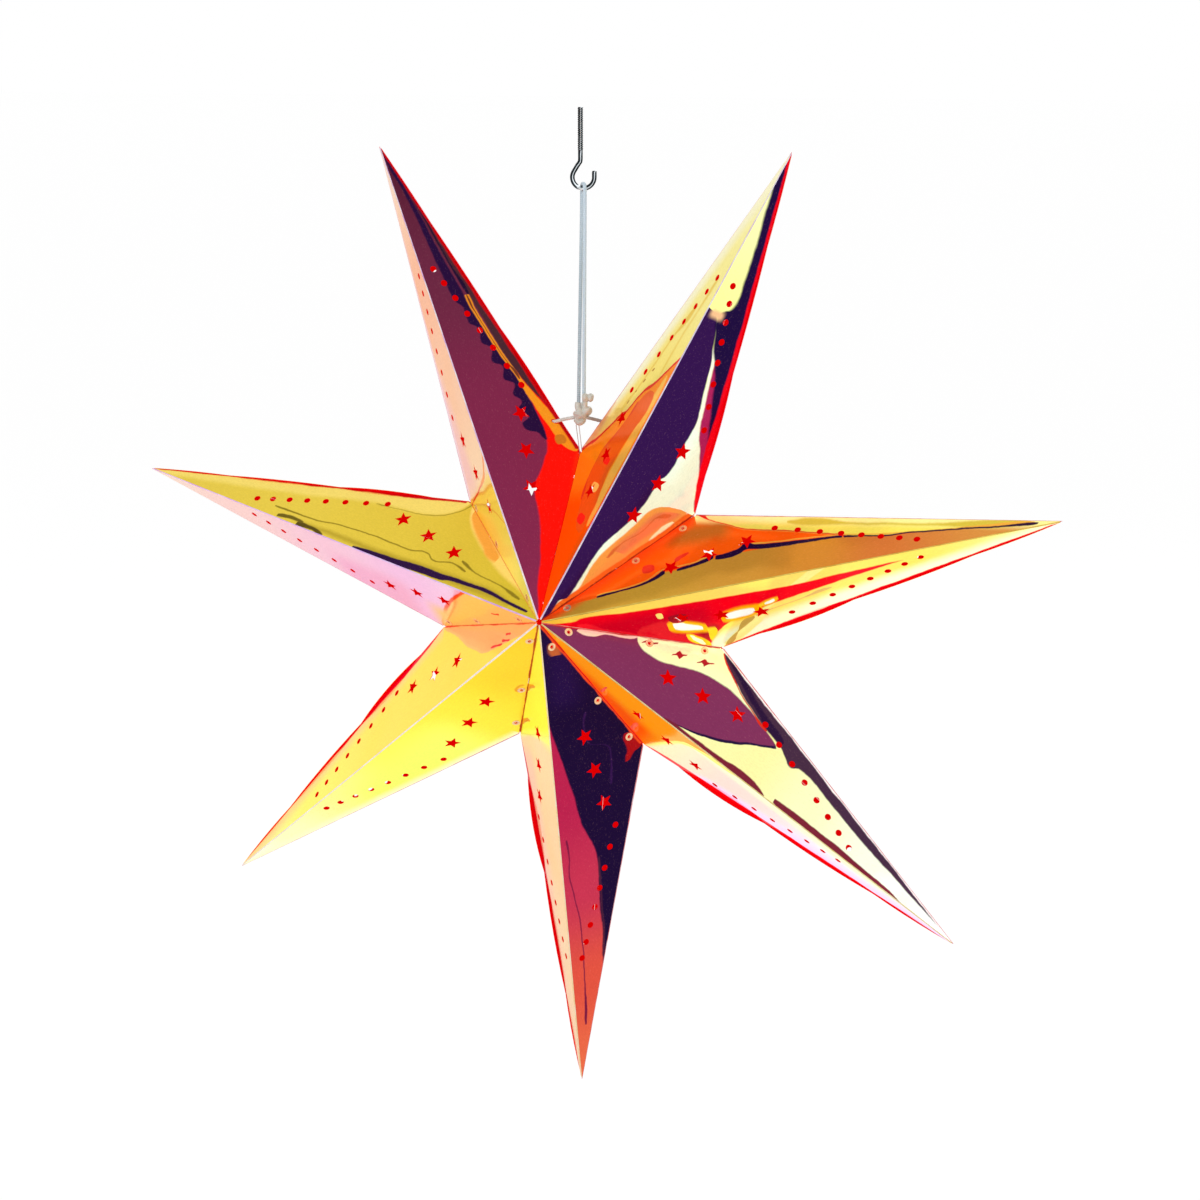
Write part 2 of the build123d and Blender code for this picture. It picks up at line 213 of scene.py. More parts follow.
def meshed(bm, name):
    mesh = bpy.data.meshes.new(name)
    bm.to_mesh(mesh)
    bm.free()
    return mesh


def placed(name, data):
    piece = bpy.data.objects.new(name, data)
    scene.collection.objects.link(piece)
    return piece


def dress(material, *names):
    """Give solids of the frame their one material."""
    for name in names:
        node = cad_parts[name]
        node.data.materials.clear()
        node.data.materials.append(material)


# The cord's finish: glassy white braid, a little blue, the left strand darker than the
# right, with the fine slant of its plait in paler bands of painted sheen.
cord_finish, tree, shader = new_finish(
    "cord_braid",
    {
        "Roughness": 0.42,
        "Subsurface Weight": 0.25,
        "Subsurface Radius": (0.002, 0.002, 0.002),
        "Subsurface Scale": 0.5,
        "Sheen Weight": 0.2,
    },
)
place = object_place(tree)
plait = waved(tree, place, "Z", {"Scale": 260, "Distortion": 3, "Detail Scale": 4})
cloud = grain(tree, place, 160, 3, (1, 1, 0.08))
sides = tree.nodes.new("ShaderNodeVectorMath")
sides.operation = "DOT_PRODUCT"
sides.inputs[1].default_value = across
tree.links.new(place, sides.inputs[0])
right_strand = calculate(tree, "MULTIPLY_ADD", sides.outputs["Value"], 500, 0.4, clamp=True)
left_strand_white = blended(tree, cloud.outputs["Fac"], linear("8FA4AC"), linear("BCCBD2"))
right_strand_white = blended(tree, cloud.outputs["Fac"], linear("BCD0DE"), linear("E0EEF8"))
tint = blended(tree, right_strand, left_strand_white, right_strand_white)
# Painted sheen: paler bands along the plait.
shine = calculate(tree, "MULTIPLY", plait.outputs["Fac"], 0.25)
tint = blended(tree, shine, tint, linear("EAF4FC"))
tree.links.new(tint, shader.inputs["Base Color"])
bumped(tree, shader, plait.outputs["Fac"], 0.00012, 0.6)

cord_thickness = 0.0022
cord_route = [(spot, 1) for spot in loop_route]
cord_curve = round_curve("hanging_cord", cord_thickness / 2, 5, [cord_route])
cord_curve.materials.append(cord_finish)
hanging_cord = placed("hanging_cord", cord_curve)
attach(hanging_cord, "loop")
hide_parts("hanging_loop")


# The star is seven cards, each creased into a point of four slim triangles. The foil is
# bright on the outside and red inside. The card is 0.4 mm thick, and its red inside shows
# through the punched stars and dots and along the lapped seams. The red inside has a painted
# glow in place of the lamp's light, and the outside a weaker painted glow in its own colours.
point_count = 7
step = 360 / point_count
star_middle = Vector((0, 0, -0.2699))
tip_radius = 0.3
valley_radius = 0.0922
hub_depth = 0.0654
card = 0.0004

# In millimetres: a panel's ridge, how steeply its side edge comes down to the ridge, and
# how far along and across it the drawn boundaries reach.
ridge_length = 307
side_slope = 0.2883
drawn_run = 310
drawn_width = 70


def tip_of(k):
    turn = radians(90 + step / 2 - (k - 1) * step)
    return star_middle + Vector((cos(turn), 0, sin(turn))) * tip_radius


def valley_of(k):
    turn = radians(90 - (k - 1) * step)
    return star_middle + Vector((cos(turn), 0, sin(turn))) * valley_radius


def hub_of(face):
    return star_middle + Vector((0, -hub_depth if face == "front" else hub_depth, 0))


def neighbour(k, side):
    """The number of the valley on one side of a point."""
    return k if side == "right" else (k - 2) % point_count + 1


def panel_place(tree, k, face, side):
    """Millimetres along the ridge, across the panel and outwards from its inner face."""
    hub = hub_of(face)
    along = (tip_of(k) - hub).normalized()
    reach = valley_of(neighbour(k, side)) - hub
    sideways = (reach - along * reach.dot(along)).normalized()
    normal = along.cross(sideways)
    turn = Matrix((along, sideways, normal))
    mapping = tree.nodes.new("ShaderNodeMapping")
    mapping.inputs["Scale"].default_value = (1000, 1000, 1000)
    mapping.inputs["Rotation"].default_value = turn.to_euler("XYZ")
    mapping.inputs["Location"].default_value = turn @ hub * -1000
    tree.links.new(object_place(tree), mapping.inputs["Vector"])
    outward = 1 if normal.dot(hub - star_middle) > 0 else -1
    return mapping.outputs[0], outward


def followed(tree, value, points, run, rise, straight=False):
    """The height of a drawn boundary at a given place along it."""
    node = tree.nodes.new("ShaderNodeFloatCurve")
    line = node.mapping.curves[0]
    node.mapping.use_clip = False
    spots = [(x / run, y / rise) for x, y in points]
    while len(line.points) < len(spots):
        line.points.new(0.5, 0.5)
    for point, spot in zip(line.points, spots):
        point.location = spot
        point.handle_type = "VECTOR" if straight or len(spots) < 6 else "AUTO_CLAMPED"
    node.mapping.update()
    put(tree, calculate(tree, "DIVIDE", value, run, clamp=True), node.inputs[1])
    return calculate(tree, "MULTIPLY", node.outputs[0], rise)


def within(tree, spots, blur, tests):
    """How far a place lies within every boundary named: above, below, before or after a line.

    Over is the same as below, for a line whose parts are all straight."""
    share = None
    for kind, points in tests:
        upright = kind in ("above", "below", "over")
        value, other = (spots[0], spots[1]) if upright else (spots[1], spots[0])
        extent = (drawn_run, drawn_width) if upright else (drawn_width, drawn_run)
        limit = followed(tree, value, points, *extent, kind == "over")
        order = (limit, other) if kind in ("above", "before") else (other, limit)
        slope = tree.nodes.new("ShaderNodeMapRange")
        slope.interpolation_type = "SMOOTHSTEP"
        slope.inputs["From Min"].default_value = -blur
        slope.inputs["From Max"].default_value = blur
        tree.links.new(calculate(tree, "SUBTRACT", *order), slope.inputs["Value"])
        part = slope.outputs[0]
        share = part if share is None else calculate(tree, "MULTIPLY", share, part)
    return share


def pairs(*numbers):
    """Numbers two by two, mostly places along the ridge and across the panel."""
    return list(zip(numbers[::2], numbers[1::2]))


def bounded(kind, *numbers):
    return kind, pairs(*numbers)


kinds = ("above", "below", "over", "before", "after")
above, below, over, before, after = (partial(bounded, kind) for kind in kinds)


def patch(low_u, low_v, high_u, high_v):
    return (
        after(0, low_u, drawn_width, low_u),
        before(0, high_u, drawn_width, high_u),
        below(0, low_v, drawn_run, low_v),
        above(0, high_v, drawn_run, high_v),
    )


def between(top, bottom):
    """A closed spot between an upper and a lower line."""
    first, last = top[0][0] - 2, top[-1][0] + 2
    upper = [(0, 69), (first, 69), *top, (last, 69), (drawn_run, 69)]
    lower = [(0, -9), (first, -9), *bottom, (last, -9), (drawn_run, -9)]
    return ("below", upper), ("above", lower)


def blot(*numbers):
    """A closed spot, from places along the ridge with the upper and the lower line at each."""
    along, top, bottom = numbers[::3], numbers[1::3], numbers[2::3]
    return between(list(zip(along, top)), list(zip(along, bottom)))


def stroke(thickness, *numbers):
    """A narrow closed spot that follows a line."""
    line = pairs(*numbers)
    return between(line, [(u, v + thickness) for u, v in line])


def second_star(u, v):
    """A painted reflection of a neighbour's cut star in the foil, drawn out sideways."""
    top = pairs(-4.4, -3.8, -1.4, -1.4, 0.8, -2.6, 1.6, 0.4, 4.4, 3.4)
    bottom = pairs(-4.4, -3.4, -2.2, -0.2, -1.2, 2.4, 0.6, 1.6, 4.4, 3.8)
    return between(*([(u + a, v + b) for a, b in line] for line in (top, bottom)))


def valley_line(back):
    """The valley edge of a panel, moved inwards by some millimetres."""
    return pairs(0, -back, 95.1, 61.1 - back, 96, 90, drawn_run, 90)


def side_line(back):
    return pairs(0, 90, 94, 90, 95.1, 61.1 - back, drawn_run, -0.9 - back)


def hem(*numbers):
    """The red lip of the lapped seam, as wide as given at places along the side edge."""
    edge = [(u, (ridge_length - u) * side_slope - width) for u, width in pairs(*numbers)]
    return (("over", [(0, 90), (94, 90), *edge, (drawn_run, edge[-1][1] - 0.9)]),)


edge_of_t2 = pairs(
    0, 175, 4, 170, 10, 161, 16, 154, 22, 149, 26, 142, 30, 133, 36, 127, 40, 121, 45, 113.5, 49,
    108, 54, 104, 60, 98, 70, 92,
)
red_of_t3 = pairs(
    0, 70, 40, 80, 84, 60, 89, 56, 92, 50, 98, 43, 108, 35, 123, 30, 133, 26, 150, 22, 167, 17.7,
    183, 13.5, 198, 10.4, 213, 7.4, 310, -9,
)
edge_of_t3 = pairs(
    0, 90, 92, 66, 98, 60, 104, 54.5, 117, 46.5, 129, 40, 142, 36, 158, 30.5, 175, 24.5, 184, 20.5,
    208, 15.5, 229, 12.4, 271, 5, 310, -3,
)
line_of_t3 = pairs(
    0, 8, 35, 10, 52, 12, 65, 14, 76, 19.5, 84, 19.5, 104, 23, 120, 24, 136, 24, 160, 23, 182, 20.5,
    208, 14.6, 229, 12.2, 271, 4.8, 310, -1,
)
wedge_of_t5 = pairs(
    0, -9, 58, -2, 69, 1, 83, 4, 100, 8, 117, 12, 133, 15, 144, 19, 154, 23, 167, 24.4, 183, 23,
    208, 23, 237, 21, 310, 14,
)

# What each front panel shows: colours from the hub to the tip, with their places in
# millimetres, then the shapes over them. The colours are the foil's tints with painted
# reflections of the room and the neighbouring panels and painted highlights, fixed on the foil.
# Each shape has its colour, the softness of its edge and the boundaries it lies within.
foil_and_painted_reflections = {}
foil_and_painted_reflections["left", 1] = (
    (0, "FFE45A", 30, "FFF07C", 70, "FFDC5E", 92, "FFD24E", 98, "FFD2A0", 150, "FFC294", 220,
     "FFB284", 307, "FFE2C4"),
    ("FABEB4", 9, *patch(98, 34, 170, 80)),
    ("F8D0DC", 3, *hem(96, 4, 150, 3.5, 220, 2, 300, 0.6)),
    ("FFD23C", 8, below(0, 10, 95, 54, 96, 90, 310, 90)),
    ("F2AE4C", 0.6, after(0, 62, 5, 65, 12, 72, 22, 78, 33, 84, 45, 88, 56, 91, 70, 94),
     before(0, 63, 5, 66.3, 12, 73.5, 22, 79.4, 33, 85, 45, 88.8, 56, 91.6, 70, 94)),
    ("F0561C", 0.6, after(0, 103, 5, 99, 10, 95.4, 20, 93.8, 35, 93, 52, 92, 70, 91),
     before(0, 107, 5, 102, 10, 98, 20, 95.6, 35, 94.4, 52, 93.4, 70, 92)),
    ("FF9410", 0.8, after(0, 104, 5, 99.6, 10, 95.8, 20, 94, 35, 95, 70, 99),
     before(0, 108, 5, 102.4, 10, 98.4, 20, 96, 35, 93, 70, 92)),
)
foil_and_painted_reflections["right", 1] = (
    (0, "8E2C54", 60, "84284E", 130, "80264A", 220, "6C2642", 307, "561A30"),
    ("FF0E00", 0.9, below(0, -3, 4, 0.5, 21, 6.5, 42, 15.5, 62, 21.5, 77, 23.6, 87, 30.6, 96, 37.5,
     102, 41.5, 110, 42.8, 133, 40.6, 150, 37, 310, 30), before(0, 155, 70, 150)),
    ("FF4E00", 6, below(0, 5, 50, 38, 80, 53, 95, 62, 310, 64), before(0, 110, 70, 106)),
    ("26083A", 0.7, *blot(106, 42.4, 43, 112, 38.5, 43, 119, 30, 42.6, 123, 36, 42, 127, 30, 41.4,
     133, 35, 40, 138, 31, 39, 144, 34, 37.8, 149, 28.5, 36, 156, 30.4, 33.8, 161, 25, 32.2, 168,
     27.4, 30, 174, 22.2, 28.2, 182, 23.2, 26.4, 188, 18.2, 25, 196, 18.4, 23, 202, 14.4, 21.6, 217,
     12, 18.6, 240, 9.6, 14, 271, 6, 8.4, 302, 0.6, 1.8)),
    ("4A2630", 0.8, below(0, 90, 100, 58, 112, 53.5, 127, 49.6, 140, 42.6, 156, 36, 177, 30.6, 204,
     24.6, 222, 19, 250, 13, 280, 6.8, 310, 0.8)),
    ("200830", 0.5, *stroke(0.9, 204, 23.6, 225, 18.6, 250, 13.4, 275, 8, 300, 2.4)),
    ("F8981C", 0.6, *blot(95, 58, 60, 99, 52.6, 58.4, 103, 50, 57, 108, 48.2, 55.4, 114, 46.6, 54,
     121, 44.4, 51.6, 133, 40.4, 45.8, 146, 37, 39.6, 158, 33, 35.4, 177, 27.4, 30, 190, 24.2, 26.6,
     205, 21.6, 23.8)),
    ("7A3A20", 0.35, *stroke(0.5, 146, 38.1, 158, 34, 177, 28.5, 190, 25.2, 205, 22.4)),
    ("D07A1E", 0.7, *blot(101, 50, 51.6, 104.5, 47.6, 54.4, 108, 49, 52.4)),
    ("C4000E", 0.7, *hem(96, 2.4, 150, 2.4, 220, 2, 300, 1)),
)
foil_and_painted_reflections["left", 2] = (
    (0, "FF5810", 95, "FF8A20", 112, "F4C868", 150, "F4DE70", 230, "F4E890", 307, "F8F4BC"),
    ("F6F0C8", 5, over(0, 90, 120, 52, 150, 38, 310, -8)),
    ("E8A468", 2.5, *blot(100, 58, 64, 108, 51, 60, 116, 50, 58, 124, 50, 56, 132, 50, 53)),
    ("E6C24E", 1.0, *stroke(1.6, 128, 37, 145, 31, 160, 27, 180, 22, 205, 13)),
    ("E6C24E", 1.5, *stroke(1.4, 160, 13, 180, 12, 200, 9, 225, 5)),
    *(("B8862C", 0.4, *stroke(0.9, *dash)) for dash in (
        (134, 34.6, 137, 33.6), (142, 31.8, 145, 30.8), (150, 28.8, 153, 27.6), (158, 25.4, 161, 24)
    )),
    ("E22A14", 0.6, ("before", edge_of_t2)),
    ("FF8C14", 0.8, ("before", [(v, u - 3.2) for v, u in edge_of_t2])),
    ("FF5E00", 10, before(0, 90, 70, 60)),
    ("FFBE4C", 1, *between(pairs(62, 3, 80, 2, 110, 2, 150, 2, 162, 4), pairs(62, 5, 80, 9, 100,
     11.5, 130, 9, 162, 5))),
    ("F06218", 0.9,
     *blot(56, 8, 14, 72, 7, 27, 86, 11, 33, 100, 13, 34.5, 122, 10.5, 26, 140, 6, 22, 149, 9, 15)),
    ("E04020", 0.8, *stroke(0.8, 72, 27, 86, 33, 100, 34.5, 112, 29.5, 125, 25, 140, 22)),
    ("FF2A1C", 0.6, *blot(60, 14, 16, 64, 11, 21, 67, 14, 17)),
    ("FF2A1C", 0.6, *blot(97, 22, 23, 100, 18, 27, 103, 22, 23)),
    ("FFD060", 0.6, *blot(80, 18, 21, 84, 15, 24, 87, 17, 19)),
)
foil_and_painted_reflections["right", 2] = (
    (0, "EEFFE6", 140, "EEFFE6", 190, "F8FC98", 307, "FDFFBC"),
    ("FFFFE0", 0.8, *blot(140, 31, 36, 154, 28.4, 31.5, 167, 24.6, 26.6, 190, 16, 18)),
    ("F0A04A", 0.7, *blot(18, 9.6, 12, 26, 12.6, 17, 42, 13.6, 27, 58, 18.5, 37, 72, 25, 46, 84,
     29.6, 53, 91, 36, 56, 94, 46, 56, 94.6, 52, 54)),
    ("E8824E", 2.5, *blot(56, 22, 28, 72, 29, 38, 84, 34, 46, 90, 42, 51, 92, 50, 52)),
    ("D86A34", 0.6, *stroke(0.8, 50, 20, 62, 24, 72, 32, 84, 37, 90, 46)),
    ("FFF6C0", 0.7, *blot(70, 40.5, 42.5, 76, 42, 45.5, 86, 49, 51)),
    ("E66A1E", 0.8, ("below", valley_line(4.5)), before(0, 96, 70, 96)),
    ("300E4A", 0.6, above(0, 3, 16, 5, 20, 9.6, 42, 11.3, 54, 13.3, 69, 19, 79, 23, 92, 26, 104, 27,
     109, 30, 117, 31, 130, 31, 142, 31, 154, 28, 167, 23.8, 179, 20, 187, 16, 198, 11.5, 204, 8,
     207, 3, 209, -6, 310, -8)),
    ("A81E58", 0.8, below(0, 90, 94, 66, 99, 58, 117, 50.6, 129, 43.6, 142, 35, 156, 30, 171, 25,
     187, 19.6, 200, 15, 310, 0), before(0, 196, 70, 196)),
    ("1A053A", 1.2, below(0, 90, 110, 64, 126, 51, 140, 43, 156, 35, 170, 28.6, 180, 22, 187, 16.5,
     196, 12, 203, 9, 208, 10, 212, 14.6, 217, 15.4, 229, 13.3, 250, 8.6, 271, 3, 283, 0, 310, -6)),
    ("F2BE8C", 2, *patch(203, 3, 208, 12)),
    ("E80018", 0.7, *hem(96, 1, 112, 4.4, 135, 4.6, 160, 3.6, 200, 2.6, 250, 2.4, 300, 1.4)),
    ("8A2410", 0.6, ("below", valley_line(1.0))),
)
foil_and_painted_reflections["left", 3] = (
    (0, "B8882E", 60, "C49632", 120, "C48A30", 165, "CA802A", 205, "CC7030", 270, "D08A3C", 307,
     "E0B868"),
    ("FF5A08", 0.6, ("below", line_of_t3), ("above", edge_of_t3)),
    ("B65A16", 7, *patch(76, 38, 116, 54)),
    ("F04A10", 5, ("below", valley_line(7))),
    ("E4301C", 0.5, *blot(62, 24, 25, 66, 21.5, 28, 71, 24.5, 25.5)),
    ("E4301C", 0.5, *blot(82, 26, 28, 86, 28, 31, 91, 31, 32)),
    ("F0DC58", 0.7, ("below", edge_of_t3)),
    ("FAEC94", 4, ("below", side_line(5))),
    ("D2B83C", 1.2, *stroke(1.6, 150, 40, 190, 28.5, 230, 17, 290, 3)),
    ("E0281A", 0.45,
     *stroke(0.9, 98, 60, 104, 54.5, 117, 46.5, 129, 40, 142, 36, 158, 30.5, 175, 24.5, 184, 20.5)),
    ("E8A43A", 0.5, *stroke(0.8, 35, 11, 52, 13.2, 65, 15.6, 76, 21.4, 94, 22.4, 104, 26)),
    ("E8A43A", 0.5,
     *stroke(0.8, 128, 29, 140, 27, 160, 25.2, 182, 21.8, 208, 16, 250, 9.4, 292, 2.8)),
    ("220A34", 0.4,
     *blot(35, 9.8, 10.8, 52, 11.8, 13.1, 65, 13.6, 15.6, 72, 15.8, 18.8, 77, 19, 21.6)),
    ("220A34", 0.4, *blot(83, 18.6, 20.2, 94, 19.6, 22.2, 102, 21.6, 24.8, 106, 24, 26.6)),
    ("220A34", 0.4, *blot(106.5, 22, 25, 112, 21.4, 25.4, 121, 22.6, 27.4, 126, 25.6, 31, 129, 25,
     29, 136, 23.4, 27.2, 156, 22.2, 25, 177, 20.8, 22.6, 182, 20, 21.4)),
    ("2C1030", 0.4,
     *stroke(1.2, 182, 20, 192, 18.2, 208, 14.4, 219, 13.4, 229, 12, 250, 8.4, 271, 4.6, 294, 1.4)),
)
foil_and_painted_reflections["right", 3] = (
    (0, "F8C43C", 60, "FFE05C", 140, "FCE06A", 220, "F8DA5C", 307, "F8E890"),
    ("F2F6CC", 5, below(0, 90, 100, 46, 150, 32, 200, 20, 310, -4)),
    ("F8EC8C", 1.0, after(0, 160, 30, 124, 42, 112, 56, 98, 70, 95),
     before(0, 170, 30, 130, 42, 124, 56, 108, 70, 100)),
    ("C8A048", 0.5, *stroke(1.0, 98, 58, 108, 47, 122, 34)),
    ("D8B468", 0.5, *stroke(0.7, 122, 34, 134, 30, 150, 26, 170, 20)),
    ("F40018", 0.7, below(0, 2, 12, 5, 19, 6, 24, 4, 31, 3.8, 52, 7.2, 83, 8.8, 115, 10, 146, 10.8,
     167, 9.4, 198, 7.5, 213, 7, 225, 20, 310, 30), ("above", red_of_t3)),
    ("D4001E", 6, *patch(12, 12, 96, 90), ("above", red_of_t3)),
    ("A80820", 4, *patch(86, 36, 99, 50), ("above", red_of_t3)),
    # Painted highlights: orange and yellow halos round near-white cores.
    ("FFB400", 2.0,
     *between(pairs(70, 27, 75, 24, 84, 28, 93, 35), pairs(70, 33, 76, 37.5, 84, 40, 93, 42))),
    ("FFB400", 2.0, *blot(101, 28, 33, 107, 24, 36.4, 118, 22.5, 35, 127, 24, 31)),
    ("FFCC20", 1.5, *blot(78, 40, 44, 84, 44, 54, 90, 54, 59)),
    ("FFCC20", 1.5, *blot(91, 42, 52, 93, 38, 50, 97, 39, 44)),
    ("FFCC20", 1.5, *blot(126, 24, 27, 132, 21, 26, 138, 20, 22)),
    ("FFFFF4", 1.0,
     *between(pairs(73, 28, 76, 26.4, 82, 30, 90, 36), pairs(73, 32, 77, 34.6, 84, 37, 90, 38.4))),
    ("FFFFF4", 1.0, *blot(104, 29.5, 31.5, 108, 26.5, 33, 117, 25.6, 32.2, 123, 27, 30)),
    ("FFFBD0", 0.5, *blot(80, 42, 43.5, 83, 45, 50, 87, 52, 54.5)),
    ("FFFFF0", 0.5, *blot(129, 24, 25.4, 133, 22.4, 24.8, 136, 21.4, 22.6)),
    ("FFE878", 0.5, *blot(66, 16, 17, 68.5, 13.6, 19.6, 71, 16, 17)),
    ("A01020", 0.6, *blot(72, 20, 22, 78, 18, 27, 84, 20, 23)),
    ("E2001A", 0.6, *hem(96, 0.6, 110, 1.8, 150, 2.4, 200, 2.0, 260, 1.8, 300, 1)),
)
foil_and_painted_reflections["left", 4] = (
    (0, "F8F0A0", 90, "F8FAB4", 150, "FAF6A8", 190, "F8FBC4", 240, "FAFFE6", 307, "FCFFFC"),
    ("26103C", 0.5,
     before(0, 99, 1, 100, 5, 113, 10.4, 126, 16.7, 136, 22, 143, 26, 150, 31, 157, 70, 162),
     above(0, 90, 100, 90, 120, 60, 136, 37, 154, 31.5, 164, 20, 310, 10)),
    ("7E305A", 0.6,
     before(0, 90, 1, 96, 5, 109, 10.4, 122, 16.7, 133, 22, 140.4, 26, 147.4, 31, 154, 70, 160),
     above(0, 70, 44, 40, 52, 31, 56, 28, 60, 27, 69, 28, 79, 32, 89.6, 37.5, 100, 41, 112.5, 42,
     129, 39.6, 144, 35.4, 156, 30, 164, 20, 310, 10)),
    ("F6FFC4", 0.7, below(0, 90, 44, 40, 52, 31, 56, 28, 60, 27, 69, 28, 79, 32, 89.6, 37.5, 100,
     41, 112.5, 42, 129, 39.6, 144, 35.4, 158, 30.5, 310, 10), before(0, 150, 70, 132)),
    ("F6D8C0", 0.5, *blot(20, 10.6, 12, 36, 20.8, 22.6, 52, 31, 33)),
    *(("A81A28", 0.4, *second_star(u, v)) for u, v in ((59, 33.6), (77.8, 39.4), (92.6, 46))),
    ("D8301C", 0.45, *stroke(0.8, 98, 58.2, 117, 46, 133, 38.8, 146, 34.6)),
    ("452A42", 0.6, below(0, 90, 95, 72, 98, 59.4, 117, 47, 133, 39.6, 146, 35.4, 158, 32, 164,
     28.4, 169, 26, 174, 28.7, 187, 27, 208, 21, 229, 16, 250, 11.5, 271, 7.3, 300, 1.8, 310, 0)),
    ("2A1238", 0.8, *blot(98, 60, 62, 117, 50, 54, 133, 42, 46, 158, 34, 36)),
    ("FFF2F0", 0.5, ("below", side_line(0.9))),
    ("7A2234", 0.5, *between(pairs(92, -2, 110, -2, 130, -2, 150, -2, 166, -2), pairs(92, 0.6, 110,
     2.2, 130, 3.0, 147, 4.4, 166, 0.4))),
    ("7A2234", 0.5, *blot(172, 0.6, 3.8, 200, -1, 4.0, 240, -2, 2.8, 268, -2, 0.2)),
    ("C01410", 0.6, ("below", valley_line(1.2))),
)
foil_and_painted_reflections["right", 4] = (
    (0, "FF9C10", 60, "FF920E", 100, "DCD8A8", 150, "DCC2B6", 250, "E6D8E8", 307, "F0ECE2"),
    ("DCDEB6", 4, above(0, 10, 310, 6), after(0, 112, 70, 112)),
    ("DAC2E8", 7, below(0, 90, 150, 34, 200, 18, 310, -9), after(0, 150, 70, 120)),
    ("FFE468", 1.6, before(0, 146, 3, 140, 7, 120, 12, 113, 25, 107, 40, 103, 60, 98, 70, 97)),
    ("FF960C", 0.9,
     before(0, 128, 4, 119, 8, 112, 12.5, 109, 25, 104.4, 40, 100.6, 60, 96.4, 70, 95)),
    ("FF5804", 9, below(0, 12, 50, 22, 95, 34, 310, 40), before(0, 98, 70, 94)),
    ("E8483C", 0.8, *blot(53.6, 21, 26, 55, 17, 31, 56.4, 21, 26)),
    ("F05840", 0.8, *blot(82, 40, 46, 83.6, 35, 52, 85, 41, 50)),
    ("E80010", 0.7,
     *hem(96, 0.8, 102, 3, 112, 4.6, 146, 5, 180, 4, 210, 3, 240, 2.4, 268, 1.6, 292, 0.2)),
    ("D80810", 0.7, ("below", valley_line(2.0)), before(0, 96, 70, 96)),
)
foil_and_painted_reflections["left", 5] = (
    (0, "B81C4E", 120, "BC204E", 180, "CC3452", 240, "E65440", 307, "F07048"),
    ("1A0434", 0.7, ("below", wedge_of_t5)),
    ("240A46", 9, *patch(8, 2, 56, 22)),
    ("34124E", 0.7, *stroke(0.8, 64, 24, 72, 22, 84, 24, 88, 34, 96, 39, 116, 37)),
    ("50203A", 0.7, *stroke(0.9, 160, 25, 183, 24, 208, 23.6, 228, 21.6)),
    ("7C1640", 0.4, *stroke(0.8, 142, 3.6, 156, 4.6, 165, 3.6, 173, 4.8, 187, 6.4, 204, 8.4, 221,
     8.4, 240, 7.6, 271, 5.6)),
    ("A80C14", 0.8, *between(pairs(84, 51, 87, 48, 92, 49.6, 96, 50.5, 100, 49, 104, 48.6),
     pairs(84, 53, 87, 55, 92, 58, 95, 60, 98, 55, 104, 50))),
    ("C06434", 1.6, *blot(14, 6, 9, 18, 4, 12, 24, 8, 12)),
    ("F4501C", 0.6, ("below", valley_line(1.8))),
)
foil_and_painted_reflections["right", 5] = (
    (0, "FFF6A0", 14, "FFF24C", 60, "FAFF52", 76, "FFFA60", 88, "FFD694", 150, "FFCC8C", 230,
     "FBD09C", 307, "F4D0A8"),
    ("FFC2A0", 8, below(0, 60, 95, 40, 200, 20, 310, 0), after(0, 98, 70, 102)),
    ("FAFF54", 1.4, before(0, 79, 4, 80, 20, 83, 33, 86.4, 46, 91, 60, 96, 70, 98)),
    ("F2A41E", 0.8, *blot(48, 19, 21, 50, 22, 27, 53, 28, 33, 57, 34, 37)),
    ("F2A41E", 0.8, *blot(77, 36, 39, 79, 39, 44, 82, 46, 51, 86, 53, 56)),
    ("D8820E", 0.7, ("below", valley_line(1.8)), before(0, 96, 70, 96)),
    ("DC0018", 0.8,
     *hem(98, 0.4, 110, 3, 130, 4.6, 165, 4.6, 200, 3.2, 235, 2.6, 262, 0.6, 300, 0)),
)
foil_and_painted_reflections["left", 6] = (
    (0, "FFC224", 60, "FFD82E", 100, "FDE63E", 150, "F8F258", 210, "F6F28C", 260, "FAF6BA", 307,
     "FFFFEC"),
    ("FFCC2C", 16, *patch(-20, 4, 66, 34)),
    ("F0FF68", 16, *patch(112, 10, 206, 60)),
    ("FFFFC8", 4, ("below", side_line(3))),
    ("E8A020", 0.7, *blot(54, 31, 32, 58, 28.6, 30.4, 62, 31, 33)),
    ("A83812", 0.5, ("below", valley_line(1.0))),
)
foil_and_painted_reflections["right", 6] = (
    (0, "FFD44C", 60, "FFD44A", 150, "FFDC58", 230, "FAEA66", 307, "FFF2A0"),
    ("FFCC80", 6, ("below", side_line(7))),
    ("FAB468", 0.7,
     before(0, 16, 3, 24, 6, 38, 10.4, 51, 19, 61.6, 28, 70.6, 42, 80.6, 52, 89, 60, 96, 70, 98)),
    ("FFAC64", 0.9,
     before(0, 12, 3, 21, 6, 35, 10.4, 48.6, 19, 59, 28, 68.4, 42, 78.6, 52, 87, 60, 94, 70, 96)),
    ("E4342C", 0.4, *blot(27, 4, 5, 31, 5.6, 7, 36, 8.4, 9.6)),
    ("E4342C", 0.4, *blot(35, 5.4, 6.6, 40, 7.4, 8.8, 46, 10, 11)),
    ("E4342C", 0.4, *blot(26, 8.4, 9.4, 29, 9.6, 10.8, 32, 11, 12)),
    ("E8002C", 0.7, *hem(96, 0.6, 110, 3, 135, 3.2, 165, 2, 200, 1.1, 222, 0.2, 300, 0)),
    ("F04820", 0.5, ("below", valley_line(1.2)), before(0, 96, 70, 96)),
)
